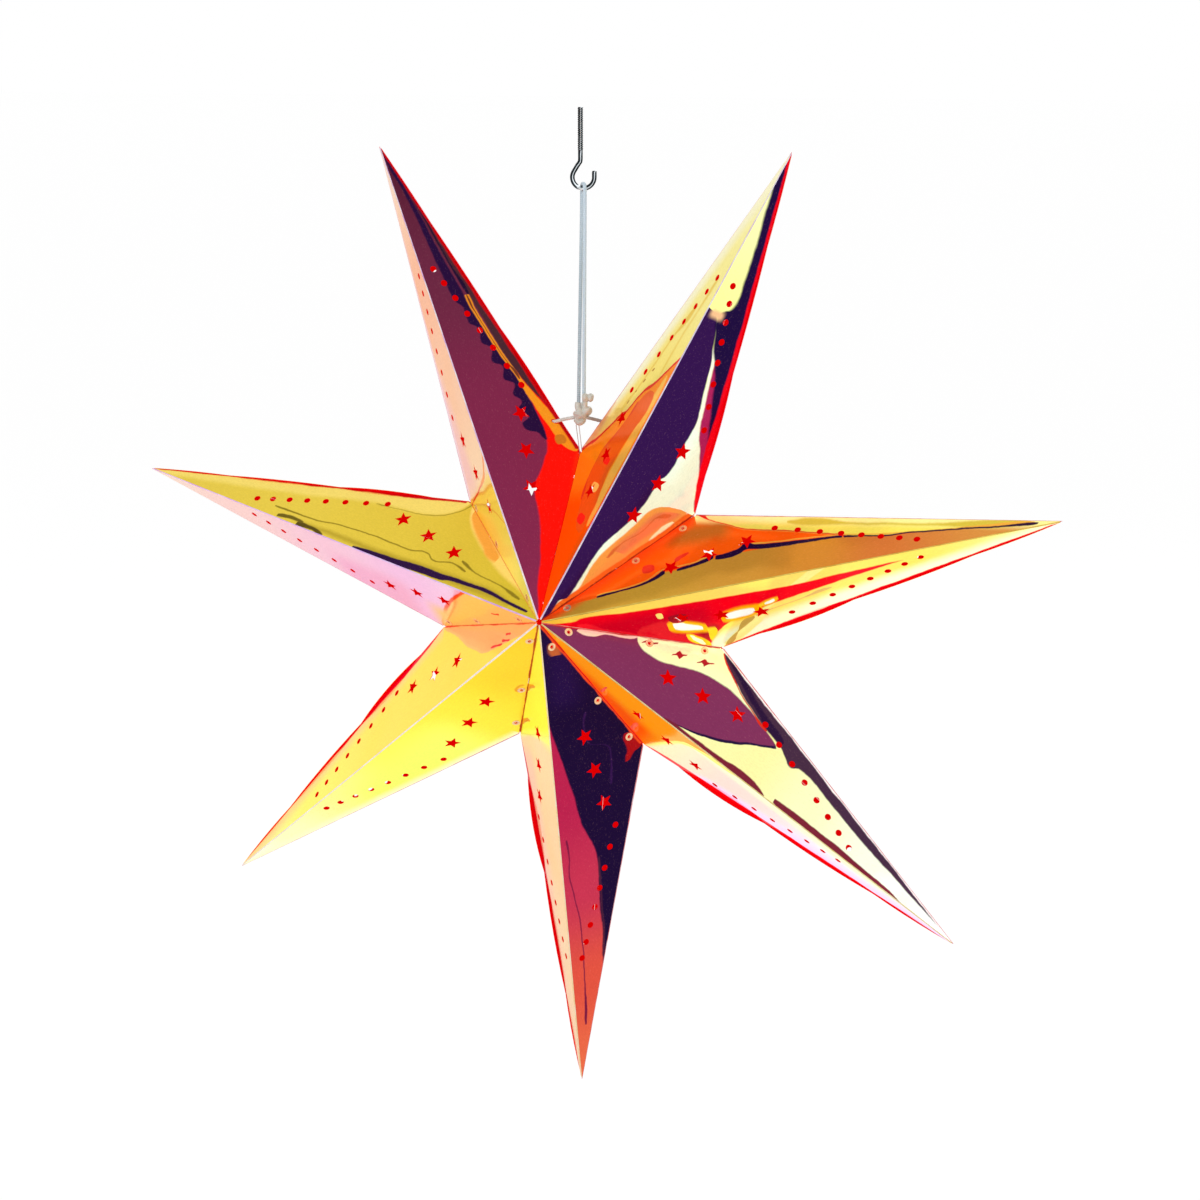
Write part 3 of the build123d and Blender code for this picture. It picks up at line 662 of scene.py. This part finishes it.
foil_and_painted_reflections["left", 7] = (
    (0, "FFD87E", 60, "FBCCEC", 100, "F8BEE8", 170, "FCC6DA", 240, "FFD2CC", 307, "FFE0CC"),
    ("F8ACD0", 10, *patch(108, 20, 166, 60)),
    ("FF520E", 0.7,
     before(0, 58, 4, 61, 9, 66, 17, 73.4, 25, 79.4, 33, 84.2, 44, 89.4, 59, 96, 70, 99)),
    ("FFCA6C", 0.8,
     before(0, 54, 4, 58, 9, 62.6, 17, 70.4, 25, 76.4, 33, 81.4, 44, 87, 59, 94, 70, 97)),
    ("FFC868", 8, *patch(40, 36, 96, 70)),
    ("E8401C", 0.4, *blot(33, 10, 11.2, 37, 12, 13.4, 41, 13.4, 14.4)),
)
foil_and_painted_reflections["right", 7] = (
    (0, "D0B82E", 60, "DCC03A", 130, "E4C842", 200, "E8CC48", 307, "E4C84A"),
    ("F6DC6C", 2.5, below(0, 90, 90, 66, 96, 54, 104, 46, 116, 41, 150, 36, 200, 22, 310, -4)),
    ("B49C2E", 0.4, *blot(91, 60, 60.4, 94, 54, 55.4, 98, 49.6, 50.8, 106, 43.8, 44.8, 118, 39.6,
     40.4, 136, 37, 37.5, 150, 35, 35.2)),
    ("FFD870", 2, below(0, 8, 40, 20, 66, 33, 84, 46, 92, 62, 96, 90, 310, 90)),
    ("F6A63E", 1.6, *blot(52, 27, 31, 66, 34, 42, 78, 42, 51, 88, 54, 60)),
    ("BCA22C", 2.2, *blot(24, 2, 5, 50, 2, 9, 120, 2, 6, 190, 2, 3)),
    ("8E7A1C", 0.5,
     *stroke(0.9, 64, 13, 76, 15, 88, 12, 96, 15, 110, 12.6, 130, 13, 160, 11, 180, 8, 210, 7)),
    ("8E7A1C", 0.5, *stroke(0.8, 20, 9, 40, 13, 58, 15, 72, 19)),
    ("2A0C3E", 0.5, *blot(10, 2.4, 3.6, 30, 3.8, 6, 50, 5, 7.8, 66, 4, 7.2, 76, 1.8, 6.4, 90, 0.6,
     5.8, 108, -1, 4.2, 142, -2, 1)),
    ("5A4A14", 0.6, *blot(166, -1, 0.6, 176, 1, 3.6, 188, -1, 3)),
    ("6E5E18", 0.6, *blot(184, 3, 4, 194, 2.4, 5, 204, 1, 2.6)),
    ("D00010", 0.6, *hem(96, 1.6, 130, 2, 170, 1.2, 230, 0.8, 300, 0.6)),
)


# How strongly each panel's outside has a painted glow in its own colours, stronger on the panels
# that the lamps light less.
painted_glow_strength = 0.6
painted_glow_of = {
    "left": (0.06, 0.14, 0.30, 0.20, 0.12, 0.24, 0.10),
    "right": (0.12, 0.28, 0.42, 0.54, 0.10, 0.26, 0.12),
}


opposite = {"left": "right", "right": "left"}


def mirrored(k):
    """The front point that lies behind a point of the back."""
    return (8 - k) % point_count + 1


def vector_sum(tree, operation, *values):
    node = tree.nodes.new("ShaderNodeVectorMath")
    node.operation = operation
    for socket, value in zip(node.inputs, values):
        put(tree, value, socket)
    return node.outputs[0]


def foil(k, face, side):
    """One panel's material: painted foil colours and reflections with a painted glow outside, red
    inside with a painted glow.
    """
    finish, tree, shader = new_finish(
        f"foil_{face}_{side}_{k}",
        {"Emission Strength": painted_glow_strength, "Specular IOR Level": 0.05},
    )
    source = (side, k) if face == "front" else (opposite[side], mirrored(k))
    colours, *shapes = foil_and_painted_reflections[source]
    place, outward = panel_place(tree, k, face, side)
    moved = place
    for scale, reach in ((0.045, 1.2), (0.3, 0.35)):
        noise = grain(tree, place, scale, 2).outputs["Color"]
        span, start = (2 * reach, 2 * reach, 0), (-reach, -reach, 0)
        shift = vector_sum(tree, "MULTIPLY_ADD", noise, span, start)
        moved = vector_sum(tree, "ADD", moved, shift)
    spots = tree.nodes.new("ShaderNodeSeparateXYZ")
    tree.links.new(moved, spots.inputs[0])
    along = calculate(tree, "DIVIDE", spots.outputs[0], drawn_run)
    colour = ramped(tree, along, [(u / drawn_run, code) for u, code in pairs(*colours)], "EASE")
    for code, blur, *tests in shapes:
        share = within(tree, spots.outputs, blur, tests)
        colour = blended(tree, share, colour, linear(code))
    scuffs = grain(tree, place, 1.4, 5, (0.5, 1.3, 1))
    glints = grain(tree, place, 1.9, 1)
    mottle = tree.nodes.new("ShaderNodeHueSaturation")
    level = calculate(tree, "MULTIPLY_ADD", scuffs.outputs["Fac"], 0.3, 0.86)
    tree.links.new(level, mottle.inputs["Value"])
    tree.links.new(colour, mottle.inputs["Color"])
    # Small pale spots: painted glints from one noise, and scuff marks where the other noise is
    # high.
    painted_glint = calculate(tree, "GREATER_THAN", glints.outputs["Fac"], 0.735)
    marks = calculate(tree, "GREATER_THAN", scuffs.outputs["Fac"], 0.67)
    wear_and_highlight = calculate(tree, "MULTIPLY_ADD", marks, 0.06, calculate(tree, "MULTIPLY", painted_glint, 0.14))
    colour = blended(tree, wear_and_highlight, mottle.outputs[0], linear("F4B8A8"))
    height = tree.nodes.new("ShaderNodeSeparateXYZ")
    tree.links.new(place, height.inputs[0])
    outwards = calculate(tree, "MULTIPLY", height.outputs[2], outward)
    inside = calculate(tree, "LESS_THAN", outwards, card * 500)
    tree.links.new(blended(tree, inside, colour, linear("E00008")), shader.inputs["Base Color"])
    # Painted glow: the outside glows in its own colours as strongly as its panel's entry gives, the
    # inside glows dark red.
    painted_glow = blended(tree, painted_glow_of[source[0]][source[1] - 1] / painted_glow_strength, (0, 0, 0, 1), colour)
    tree.links.new(blended(tree, inside, painted_glow, linear("A00002")), shader.inputs["Emission Color"])
    outside = calculate(tree, "SUBTRACT", 1, inside)
    tree.links.new(calculate(tree, "MULTIPLY", outside, 0.3), shader.inputs["Metallic"])
    tree.links.new(calculate(tree, "MULTIPLY_ADD", inside, 0.5, 0.1), shader.inputs["Roughness"])
    swell = grain(tree, place, 0.02, 1)
    under = bumped(tree, shader, swell.outputs["Fac"], 0.0022, 0.8)
    bumped(tree, shader, scuffs.outputs["Fac"], 0.00002, 0.5, under)
    return finish


for k in range(1, point_count + 1):
    for face in ("front", "back"):
        for side in ("left", "right"):
            dress(foil(k, face, side), f"point_{k}_{face}_{side}")


# The creases: the foil turns round each fold in a thin line with worn spots. On the ridges
# the pale line and its white patches are a painted highlight. Ridges and side folds stand out
# from the star; along each joined valley the foil turns inwards over its flap.
def fold_finish(name, code, wear_and_highlight):
    finish, tree, shader = new_finish(
        name, {"Metallic": 0.3, "Roughness": 0.25, "Specular IOR Level": 0.2}
    )
    wear_and_highlight_noise = grain(tree, object_place(tree), 130, 5)
    share = calculate(tree, "MULTIPLY_ADD", wear_and_highlight_noise.outputs["Fac"], 2.4, -0.7, clamp=True)
    tree.links.new(blended(tree, share, linear(code), linear(wear_and_highlight)), shader.inputs["Base Color"])
    bumped(tree, shader, wear_and_highlight_noise.outputs["Fac"], 0.0001, 0.4)
    return finish


# The inside of each crease strip: red card with a painted glow, like the inside of the panels.
painted_glow_inside, tree, shader = new_finish(
    "crease_inside",
    {
        "Base Color": linear("E00008"),
        "Emission Color": linear("A00002"),
        "Emission Strength": painted_glow_strength,
        "Roughness": 0.6,
    },
)
fibres = grain(tree, object_place(tree), 900, 3)
bumped(tree, shader, fibres.outputs["Fac"], 0.00002, 0.4)

# Each fold's half width, its colour in the crease, and its paler colour for the worn spots, which
# on the ridges is a painted highlight.
fold_looks = {
    "valley": {
        2: (0.0005, "8A1C0C", "D8581C"),
        3: (0.0007, "D01414", "FFD8C8"),
        4: (0.0010, "D00A0A", "F03C14"),
        5: (0.0005, "8A2C0E", "D8781C"),
        6: (0.0006, "E4481C", "FFB45C"),
        7: (0.0005, "EAA03C", "FFD880"),
    },
    "ridge": {
        1: (0.00034, "D9A8E4", "FFFFFF"),
        2: (0.00028, "D8B8EC", "FFFFFF"),
        3: (0.00022, "D8B444", "F0D868"),
        4: (0.00025, "E0C060", "F6EEC0"),
        5: (0.00026, "F6D890", "FFF6E0"),
        6: (0.00034, "F4E4DC", "FFFFFF"),
        7: (0.00032, "D8A0F0", "F6E0FF"),
    },
}
folds = {
    (kind, k): (width, fold_finish(f"{kind}_line_{k}", code, wear_and_highlight))
    for kind, looks in fold_looks.items()
    for k, (width, code, wear_and_highlight) in looks.items()
}
folds["side"] = (0.0004, fold_finish("side_line", "D81820", "F6C8D2"))


def crease(name, line, reach, flanks, look, bodies):
    """A thin strip bent over a fold, laid on both panels beside it. Given one body it moves with
    that body; given two it stays where it lies.
    """
    width, finish = look
    start, end = (line[0].lerp(line[1], share) for share in reach)
    along = (end - start).normalized()
    arms = []
    for flank in flanks:
        arm = flank - start
        arm = (arm - along * arm.dot(along)).normalized()
        normal = along.cross(arm)
        if normal.dot((start + end) / 2 - star_middle) < 0:
            normal.negate()
        arms.append((arm, normal))
    (arm_a, normal_a), (arm_b, normal_b) = arms
    middle = (normal_a + normal_b).normalized()
    lift = card + 0.00004
    apex = middle * (lift / max(middle.dot(normal_a), 0.3))
    section = (
        arm_a * width + normal_a * lift,
        apex * 0.92 + (arm_a * width + normal_a * lift) * 0.08,
        apex * 0.92 + (arm_b * width + normal_b * lift) * 0.08,
        arm_b * width + normal_b * lift,
    )
    bm = bmesh.new()
    corners = [bm.verts.new(start + spot) for spot in section]
    edges = [bm.edges.new(pair) for pair in zip(corners, corners[1:])]
    drawn = bmesh.ops.extrude_edge_only(bm, edges=edges)["geom"]
    far = [v for v in drawn if isinstance(v, bmesh.types.BMVert)]
    bmesh.ops.translate(bm, verts=far, vec=end - start)
    bmesh.ops.scale(bm, verts=far, vec=(0.6, 0.6, 0.6), space=Matrix.Translation(-end))
    bmesh.ops.recalc_face_normals(bm, faces=bm.faces[:])
    if sum(f.normal.dot(middle) * f.calc_area() for f in bm.faces) < 0:
        bmesh.ops.reverse_faces(bm, faces=bm.faces[:])
    mesh = meshed(bm, name)
    mesh.materials.append(finish)
    mesh.materials.append(painted_glow_inside)
    strip = placed(name, mesh)
    wall = strip.modifiers.new("wall", "SOLIDIFY")
    wall.thickness = 0.00006
    wall.offset = -1
    wall.material_offset = 1
    if len(bodies) == 2:
        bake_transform(strip)
    else:
        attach(strip, *bodies)


for k in range(1, point_count + 1):
    previous = neighbour(k, "left")
    tip, outer = tip_of(k), valley_of(previous)
    for face in ("front", "back"):
        hub = hub_of(face)
        if face == "front":
            look = k
            ridge_bodies = (f"front_left_{k}", f"front_right_{k}")
            valley_bodies = (f"front_left_{k}", f"front_right_{previous}")
        else:
            look = mirrored(k)
            ridge_bodies = valley_bodies = (f"back_left_{k}",)
        name, flanks = f"ridge_fold_{face}_{k}", (outer, valley_of(k))
        crease(name, (hub, tip), (0.006, 0.996), flanks, folds["ridge", look], ridge_bodies)
        if previous != 1:
            name, flanks = f"valley_fold_{face}_{k}", (tip, tip_of(previous))
            look = folds["valley", previous]
            crease(name, (hub, outer), (0.012, 0.995), flanks, look, valley_bodies)
    hubs = (hub_of("front"), hub_of("back"))
    side_bodies = (f"front_left_{k}", f"back_left_{k}")
    crease(f"side_fold_{k}", (outer, tip), (0.006, 0.999), hubs, folds["side"], side_bodies)


# The eyelets are small hollow rivets of bright pinkish brass. Three hold each joined valley,
# set through the card and the flap behind it, their rims a little polished.
eyelet_finish, tree, shader = speckled(
    "eyelet_brass",
    "CE8E54",
    "FFE8BE",
    (700, 3),
    (0.00004, 0.4),
    {"Emission Strength": 0.12, "Metallic": 0.7, "Roughness": 0.2},
)
# A faint painted glow in the brass's own colour brightens the eyelets.
tone = shader.inputs["Base Color"].links[0].from_socket
tree.links.new(tone, shader.inputs["Emission Color"])
dress(eyelet_finish, *(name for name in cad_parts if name.startswith("eyelets_")))


# The screw hook is one bright-plated wire of 2.8 mm: a rolled thread above, then a neck
# that leans out and runs into a round bowl with an open mouth at its right.
chrome, tree, shader = new_finish("hook_plating", {"Metallic": 1.0, "Roughness": 0.22})
place = object_place(tree)
haze = grain(tree, place, 420, 4, (1, 1, 0.3))
# The plating's colour is a painted reflection: dark and bright bands round the wire by the way each
# point faces, with a little haze.
reflection_bands = tree.nodes.new("ShaderNodeAttribute")
reflection_bands.attribute_name = "reflection_band"
wander = calculate(tree, "MULTIPLY_ADD", haze.outputs["Fac"], 0.24, -0.12)
reflection_tones = ((0.0, "0C1012"), (0.40, "1A2024"), (0.46, "6C767C"), (0.51, "F4F8FA"), (0.57, "DCE4E8"))
reflection_tones += ((0.62, "4C565C"), (0.70, "14181C"), (1.0, "0A0E10"))
reflection_band = calculate(tree, "ADD", reflection_bands.outputs["Fac"], wander)
tree.links.new(ramped(tree, reflection_band, reflection_tones, "LINEAR"), shader.inputs["Base Color"])
bumped(tree, shader, haze.outputs["Fac"], 0.00005, 0.3)

wire_radius = 0.0014
bowl_radius = 0.00645
bowl_centre = (0.0017, -0.01585)
thread_length = 0.025
thread_pitch = 0.00125
thread_root = 0.00128
thread_crest = 0.00165


def section_at(point, turn, radius):
    return Matrix.Translation(point) @ turn.to_matrix().to_4x4() @ Matrix.Scale(radius, 4)


def drawn_out(bm, points, radii, sides):
    """A round bar: a ring drawn from point to point and closed at both ends."""
    heading = (points[1] - points[0]).normalized()
    turn = Vector((0, 0, 1)).rotation_difference(heading)
    spot = section_at(points[0], turn, radii[0])
    circle = bmesh.ops.create_circle(bm, cap_ends=True, segments=sides, radius=1, matrix=spot)
    ring = circle["verts"]
    edges = list({e for v in ring for e in v.link_edges if len(e.link_faces) < 2})
    for i in range(1, len(points)):
        near = points[i] - points[i - 1]
        far = points[i + 1] - points[i] if i + 1 < len(points) else near
        next_heading = (near.normalized() + far.normalized()).normalized()
        turn = heading.rotation_difference(next_heading) @ turn
        heading = next_heading
        following = section_at(points[i], turn, radii[i])
        grown = bmesh.ops.extrude_edge_only(bm, edges=edges)["geom"]
        ring = [g for g in grown if isinstance(g, bmesh.types.BMVert)]
        edges = [g for g in grown if isinstance(g, bmesh.types.BMEdge)]
        edges = [e for e in edges if all(v in ring for v in e.verts)]
        bmesh.ops.transform(bm, matrix=following @ spot.inverted(), verts=ring)
        spot = following
    bmesh.ops.holes_fill(bm, edges=edges, sides=0)


def finished(bm, name, material, smooth=True):
    """Turn a bmesh into a piece with its normals outwards."""
    bmesh.ops.remove_doubles(bm, verts=bm.verts[:], dist=0.000002)
    bmesh.ops.recalc_face_normals(bm, faces=bm.faces[:])
    for f in bm.faces:
        f.smooth = smooth
    mesh = meshed(bm, name)
    mesh.materials.append(material)
    return placed(name, mesh)


def paint_reflection_bands(piece):
    """Mark how far round its wire each point faces, for the painted reflection: dark and bright
    bands in the plating's colour.
    """
    marks = piece.data.attributes.new("reflection_band", "FLOAT", "POINT")
    for v in piece.data.vertices:
        marks.data[v.index].value = 0.5 + 0.5 * v.normal.dot((across - up * 0.35).normalized())


def on_hook(out, rise):
    return across * out + up * rise


def on_bowl(turn):
    return bowl_centre[0] + bowl_radius * cos(turn), bowl_centre[1] + bowl_radius * sin(turn)


lean = radians(31)
foot = on_bowl(pi - lean)
neck = foot[1] - foot[0] / tan(lean)
bend_start = neck + 0.0014
bend_run = 0.0052
bend_aside = 0.0027
path = [on_hook(0, 0.0004), on_hook(0, neck + 0.0026), on_hook(0, bend_start)]
for share in (0.25, 0.5, 0.75):
    bend = bend_run * share * lean
    path.append(on_hook(-bend_aside * (1 - cos(lean * share)), bend_start - bend))
path.append(on_hook(foot[0] * 0.45, neck + (foot[1] - neck) * 0.45))
for i in range(37):
    path.append(on_hook(*on_bowl(pi - lean + (pi + lean) * i / 36)))
mouth = bowl_centre[0] + bowl_radius
path += [on_hook(mouth, bowl_centre[1] + rise) for rise in (0.0012, 0.0026, 0.0034, 0.0037, 0.0038)]
radii = [wire_radius] * (len(path) - 3) + [wire_radius * share for share in (0.96, 0.72, 0.3)]
bm = bmesh.new()
drawn_out(bm, path, radii, 24)
hook = finished(bm, "hook_wire", chrome)
paint_reflection_bands(hook)
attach(hook, "hook")
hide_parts("screw_hook")

bm = bmesh.new()
turns = int(thread_length / thread_pitch) + 1
profile = ((thread_root, 0), (thread_crest, 0.4), (thread_crest, 0.55))
profile += ((thread_root, 0.95), (thread_root, 1))
corners = [bm.verts.new((reach, 0, (share - 1) * thread_pitch)) for reach, share in profile]
edges = [bm.edges.new(pair) for pair in zip(corners, corners[1:])]
bmesh.ops.spin(
    bm,
    geom=corners + edges,
    cent=(0, 0, 0),
    axis=(0, 0, 1),
    dvec=(0, 0, thread_pitch / 20),
    angle=2 * pi * turns,
    steps=20 * turns,
    use_merge=False,
)
bmesh.ops.remove_doubles(bm, verts=bm.verts[:], dist=0.000002)
for cut, facing in ((0.0, -1), (thread_length - 0.0002, 1)):
    geom = bm.verts[:] + bm.edges[:] + bm.faces[:]
    bmesh.ops.bisect_plane(
        bm, geom=geom, plane_co=(0, 0, cut), plane_no=(0, 0, facing), clear_outer=True
    )
rims = [e for e in bm.edges if len(e.link_faces) == 1]
bmesh.ops.holes_fill(bm, edges=rims, sides=0)
thread = finished(bm, "hook_thread", chrome, smooth=False)
paint_reflection_bands(thread)
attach(thread, "hook")


# The knot joins the two ends of the loop round the tie: a lump of two turns, a lobe pulled
# through it, and one short end that stands up beside the strands, melted round.
knot_finish, tree, shader = speckled(
    "knot_wax",
    "BDB8AC",
    "E8E4DA",
    (260, 4),
    (0.0003, 0.5),
    {
        "Roughness": 0.38,
        "Subsurface Weight": 0.3,
        "Subsurface Radius": (0.003, 0.002, 0.002),
        "Subsurface Scale": 0.5,
    },
)

tie_height = -0.1603
knot_turns = (
    ((-1.5, 0.0, 11.6), (-2.0, 0.4, 9.8), (-1.4, 1.2, 7.8), (0.4, 2.0, 6.0), (1.4, 0.8, 4.6)),
    ((-3.0, -0.6, 4.9), (-2.2, 2.2, 5.5), (0.4, 3.0, 4.9), (2.2, 1.8, 3.6), (1.8, -0.8, 3.0)),
    ((-2.7, 0.8, 1.8), (-1.6, 2.2, -0.3), (0.4, 2.0, 0.0), (2.0, -0.4, 1.8), (0.4, -2.2, 3.0)),
    (
        (1.4, 1.6, 4.9),
        (2.8, 2.4, 6.4),
        (4.6, 1.6, 8.0),
        (5.2, -0.2, 6.8),
        (4.0, -0.8, 5.2),
        (2.2, -0.6, 4.2),
    ),
    ((-2.2, -1.4, 3.9), (0.0, -2.4, 4.6), (2.6, -1.6, 6.2), (4.2, 0.4, 6.8), (3.6, 1.8, 6.0)),
    ((-2.4, 0.6, 3.4), (-0.8, 2.6, 3.8), (0.4, 1.4, 4.8), (-0.6, -0.8, 4.6)),
    ((1.6, 0.0, 11.6), (1.7, -0.4, 9.0), (1.2, -0.8, 6.8), (-0.4, -0.6, 5.0), (-1.4, -0.2, 3.8)),
)
knot_tail = (
    ((2.6, 1.6, 6.6), (2.4, 2.0, 9.0), (2.5, 2.1, 11.4), (2.6, 2.1, 14.0)),
    ((0.9, 2.1, 14.9), (1.8, 2.2, 15.0), (3.2, 2.2, 15.0), (4.5, 2.1, 14.9)),
    ((3.9, 2.1, 14.9), (5.2, 2.1, 14.8), (6.6, 2.1, 14.7), (7.5, 2.0, 14.5)),
)
knot_swell = {3: 1.25, 7: 1.0, 8: 1.65, 9: 1.7}
rounded_end = 0.62
knot_routes = []
for i, route in enumerate((*knot_turns, *knot_tail)):
    swelling = [knot_swell.get(i, 1.15)] * len(route)
    if i >= len(knot_turns) + 1:
        swelling[0] *= rounded_end
        swelling[-1] *= rounded_end
    spots = [across * aside + front * out + up * rise for aside, out, rise in route]
    spots = [spot / 1000 + up * tie_height for spot in spots]
    knot_routes.append(list(zip(spots, swelling)))
knot_lump = placed("knot_lump", round_curve("knot_turns", 0.0016, 4, knot_routes))
bpy.context.view_layer.update()
solid = knot_lump.evaluated_get(bpy.context.evaluated_depsgraph_get())
lump = bpy.data.meshes.new_from_object(solid)
bpy.data.objects.remove(knot_lump)
lump.materials.clear()
lump.materials.append(knot_finish)
knot = placed("loop_knot_lump", lump)
skin = knot.modifiers.new("skin", "REMESH")
skin.mode = "VOXEL"
skin.voxel_size = 0.00025
skin.use_smooth_shade = True
settle = knot.modifiers.new("settle", "SMOOTH")
settle.iterations = 4
settle.factor = 0.5
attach(knot, "tie")
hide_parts("loop_knot")


# The tie is a short white cord through a hole in each of the two top points. It draws the
# star shut, rises to the knot that hangs it, and ends in a stopper knot inside one point.
tie_finish, tree, shader = new_finish("tie_twist", {"Roughness": 0.6, "Sheen Weight": 0.3})
place = object_place(tree)
lay = waved(tree, place, "DIAGONAL", {"Scale": 420, "Distortion": 1})
grey = grain(tree, place, 130, 2)
tone = blended(tree, grey.outputs["Fac"], linear("B9AD9E"), linear("F6F2EA"))
tone = blended(tree, calculate(tree, "MULTIPLY", lay.outputs["Fac"], 0.3), tone, linear("FFFFFF"))
# Painted shade: the tie turns brownish grey towards its right arm.
reach = tree.nodes.new("ShaderNodeSeparateXYZ")
tree.links.new(place, reach.inputs[0])
painted_shade_right_arm = calculate(tree, "MULTIPLY_ADD", reach.outputs[0], 160, -0.2, clamp=True)
tone = blended(tree, painted_shade_right_arm, tone, linear("A08C80"))
tree.links.new(tone, shader.inputs["Base Color"])
bumped(tree, shader, lay.outputs["Fac"], 0.0002, 0.8)
tie_reach = Vector((0.015886, 0.003075, 0))
tie_way = tie_reach.normalized()
tie_low = up * tie_height
tie_steps = 28
tie_start = -0.0174
tie_run = 0.0388
bow_height = 0.0034
bow_reach = 0.0150
tie_path = []
for i in range(tie_steps + 1):
    along = tie_start + tie_run * i / tie_steps
    rise = bow_height * max(0, 1 - abs(along) / bow_reach) ** 0.8
    tie_path.append(tie_low + tie_way * along + up * rise)
bm = bmesh.new()
tie_radii = [0.00102 + 0.00006 * sin(i * 2.9) for i in range(tie_steps + 1)]
drawn_out(bm, tie_path, [0.0007, 0.00098] + tie_radii[2:], 14)
stopper_at = tie_low + tie_reach + tie_way * 0.0056
stopper_lean = 0.0011
stopper_radius = 0.0012
turn_steps = 16
tie_aside = Vector((-tie_way.y, tie_way.x, 0))
for i, tilt in enumerate((0.5, -0.6)):
    ring = [
        stopper_at
        + tie_way * (stopper_lean * sin(t) * tilt + (i - 0.5) * stopper_lean)
        + tie_aside * stopper_radius * cos(t)
        + up * stopper_radius * sin(t)
        for t in [2 * pi * j / turn_steps for j in range(turn_steps + 1)]
    ]
    drawn_out(bm, ring, [0.0009] * (turn_steps + 1), 10)
tie = finished(bm, "tie_cord_twist", tie_finish)
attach(tie, "tie")
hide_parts("tie_cord")


# Two clear threads drop from the knot through the notch at the top of the star and carry
# the lamp. Each is half a millimetre thick, slightly glossy, and starts inside the knot.
thread_finish, tree, shader = speckled(
    "lamp_thread",
    "A8A4A4",
    "D8D4D2",
    (500, 2),
    (0.00003, 0.5),
    {"Roughness": 0.3},
    stretch=(1, 1, 0.1),
)
dress(thread_finish, "lamp_threads_upper", "lamp_threads_lower")
bm = bmesh.new()
thread_radius = 0.00025
thread_ends = (((-3.0, -162.6), (-1.9, -159.5)), ((-1.2, -162.6), (-0.9, -160.0)))
for ends in thread_ends:
    low, high = (Vector((aside, 0, rise)) / 1000 for aside, rise in ends)
    drawn_out(bm, [low, low.lerp(high, 0.5), high], [thread_radius] * 3, 8)
thread_tops = finished(bm, "lamp_thread_tops", thread_finish)
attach(thread_tops, "back_left_2")


# The lamp hangs in the middle of the star: a white moulded tube for three cells, a lid with
# two thread holes, a sliding switch, and a frosted cup over five warm diodes.
glowing = {"Roughness": 0.15, "Emission Color": linear("FFC060"), "Emission Strength": 4.0}
frosted = {"Roughness": 0.6, "Emission Color": linear("FFB860"), "Emission Strength": 1.6}
plated = {"Roughness": 0.25, "Metallic": 1.0}
lamp_looks = {
    "lamp_shell": ("E2DED2", "F6F3EA", 240, {"Roughness": 0.35}, "lamp_cap", "lamp_housing"),
    "switch_grey": ("2A2A2C", "454548", 240, {"Roughness": 0.55}, "lamp_switch_slider"),
    "board_lacquer": ("DDE2DE", "F2F5F2", 500, {"Roughness": 0.4}, "led_board"),
    "diode_lens": ("FFD98A", "FFF1C8", 240, glowing, "leds"),
    "lamp_frost": ("F4E8D2", "FFF8EA", 240, frosted, "lamp_diffuser"),
    "cell_sleeve": ("20242C", "3A4250", 120, {"Roughness": 0.35}, "battery_cells"),
    "contact_plate": ("8E8E8A", "D8D8D4", 600, plated, "battery_contacts"),
}
for name, (dark, light, scale, settings, *nodes) in lamp_looks.items():
    finish, tree, shader = speckled(name, dark, light, (scale, 4), (0.00005, 0.4), settings)
    dress(finish, *nodes)


# The room: a plain pale floor well below the star, soft light from all round, one broad
# lamp from the upper left and a weaker one from the right.
def shown_to(tree):
    """1 for what the eye, a mirror or glass sees of the background, 0 for the light it gives."""
    rays = tree.nodes.new("ShaderNodeLightPath").outputs
    seen = calculate(tree, "MAXIMUM", rays["Is Camera Ray"], rays["Is Glossy Ray"])
    return calculate(tree, "MAXIMUM", seen, rays["Is Transmission Ray"])


world = bpy.data.worlds.new("room")
scene.world = world
world.use_nodes = True
tree = world.node_tree
backdrop = tree.nodes["Background"]
backdrop.inputs["Color"].default_value = (1, 1, 1, 1)
strength = calculate(tree, "MULTIPLY_ADD", shown_to(tree), 0.46, 0.54)
tree.links.new(strength, backdrop.inputs["Strength"])

bm = bmesh.new()
bmesh.ops.create_grid(bm, x_segments=1, y_segments=1, size=40)
mesh = meshed(bm, "floor")
floor = placed("floor", mesh)
floor.location = (0, 0, -0.85)
floor_finish, tree, shader = new_finish(
    "floor_white", {"Base Color": (0.95, 0.95, 0.95, 1), "Roughness": 0.7}
)
glow = tree.nodes.new("ShaderNodeEmission")
glow.inputs["Strength"].default_value = 1.1
mixer = tree.nodes.new("ShaderNodeMixShader")
tree.links.new(calculate(tree, "MULTIPLY", shown_to(tree), 0.8), mixer.inputs[0])
tree.links.new(shader.outputs[0], mixer.inputs[1])
tree.links.new(glow.outputs[0], mixer.inputs[2])
tree.links.new(mixer.outputs[0], tree.nodes["Material Output"].inputs[0])
mesh.materials.append(floor_finish)

for name, spot, size, power in (
    ("key", (-1.8, -2.2, 1.8), 2.0, 22),
    ("fill", (2.4, -1.6, 0.6), 2.0, 10),
    ("low", (-0.4, -2.2, -0.6), 1.2, 7),
    ("rim", (0.4, 2.4, 1.6), 2.0, 12),
):
    lamp_data = bpy.data.lights.new(name, "AREA")
    lamp_data.size = size
    lamp_data.energy = power
    lamp = placed(name, lamp_data)
    lamp.location = spot
    lamp.rotation_euler = (star_middle - Vector(spot)).to_track_quat("-Z", "Y").to_euler()
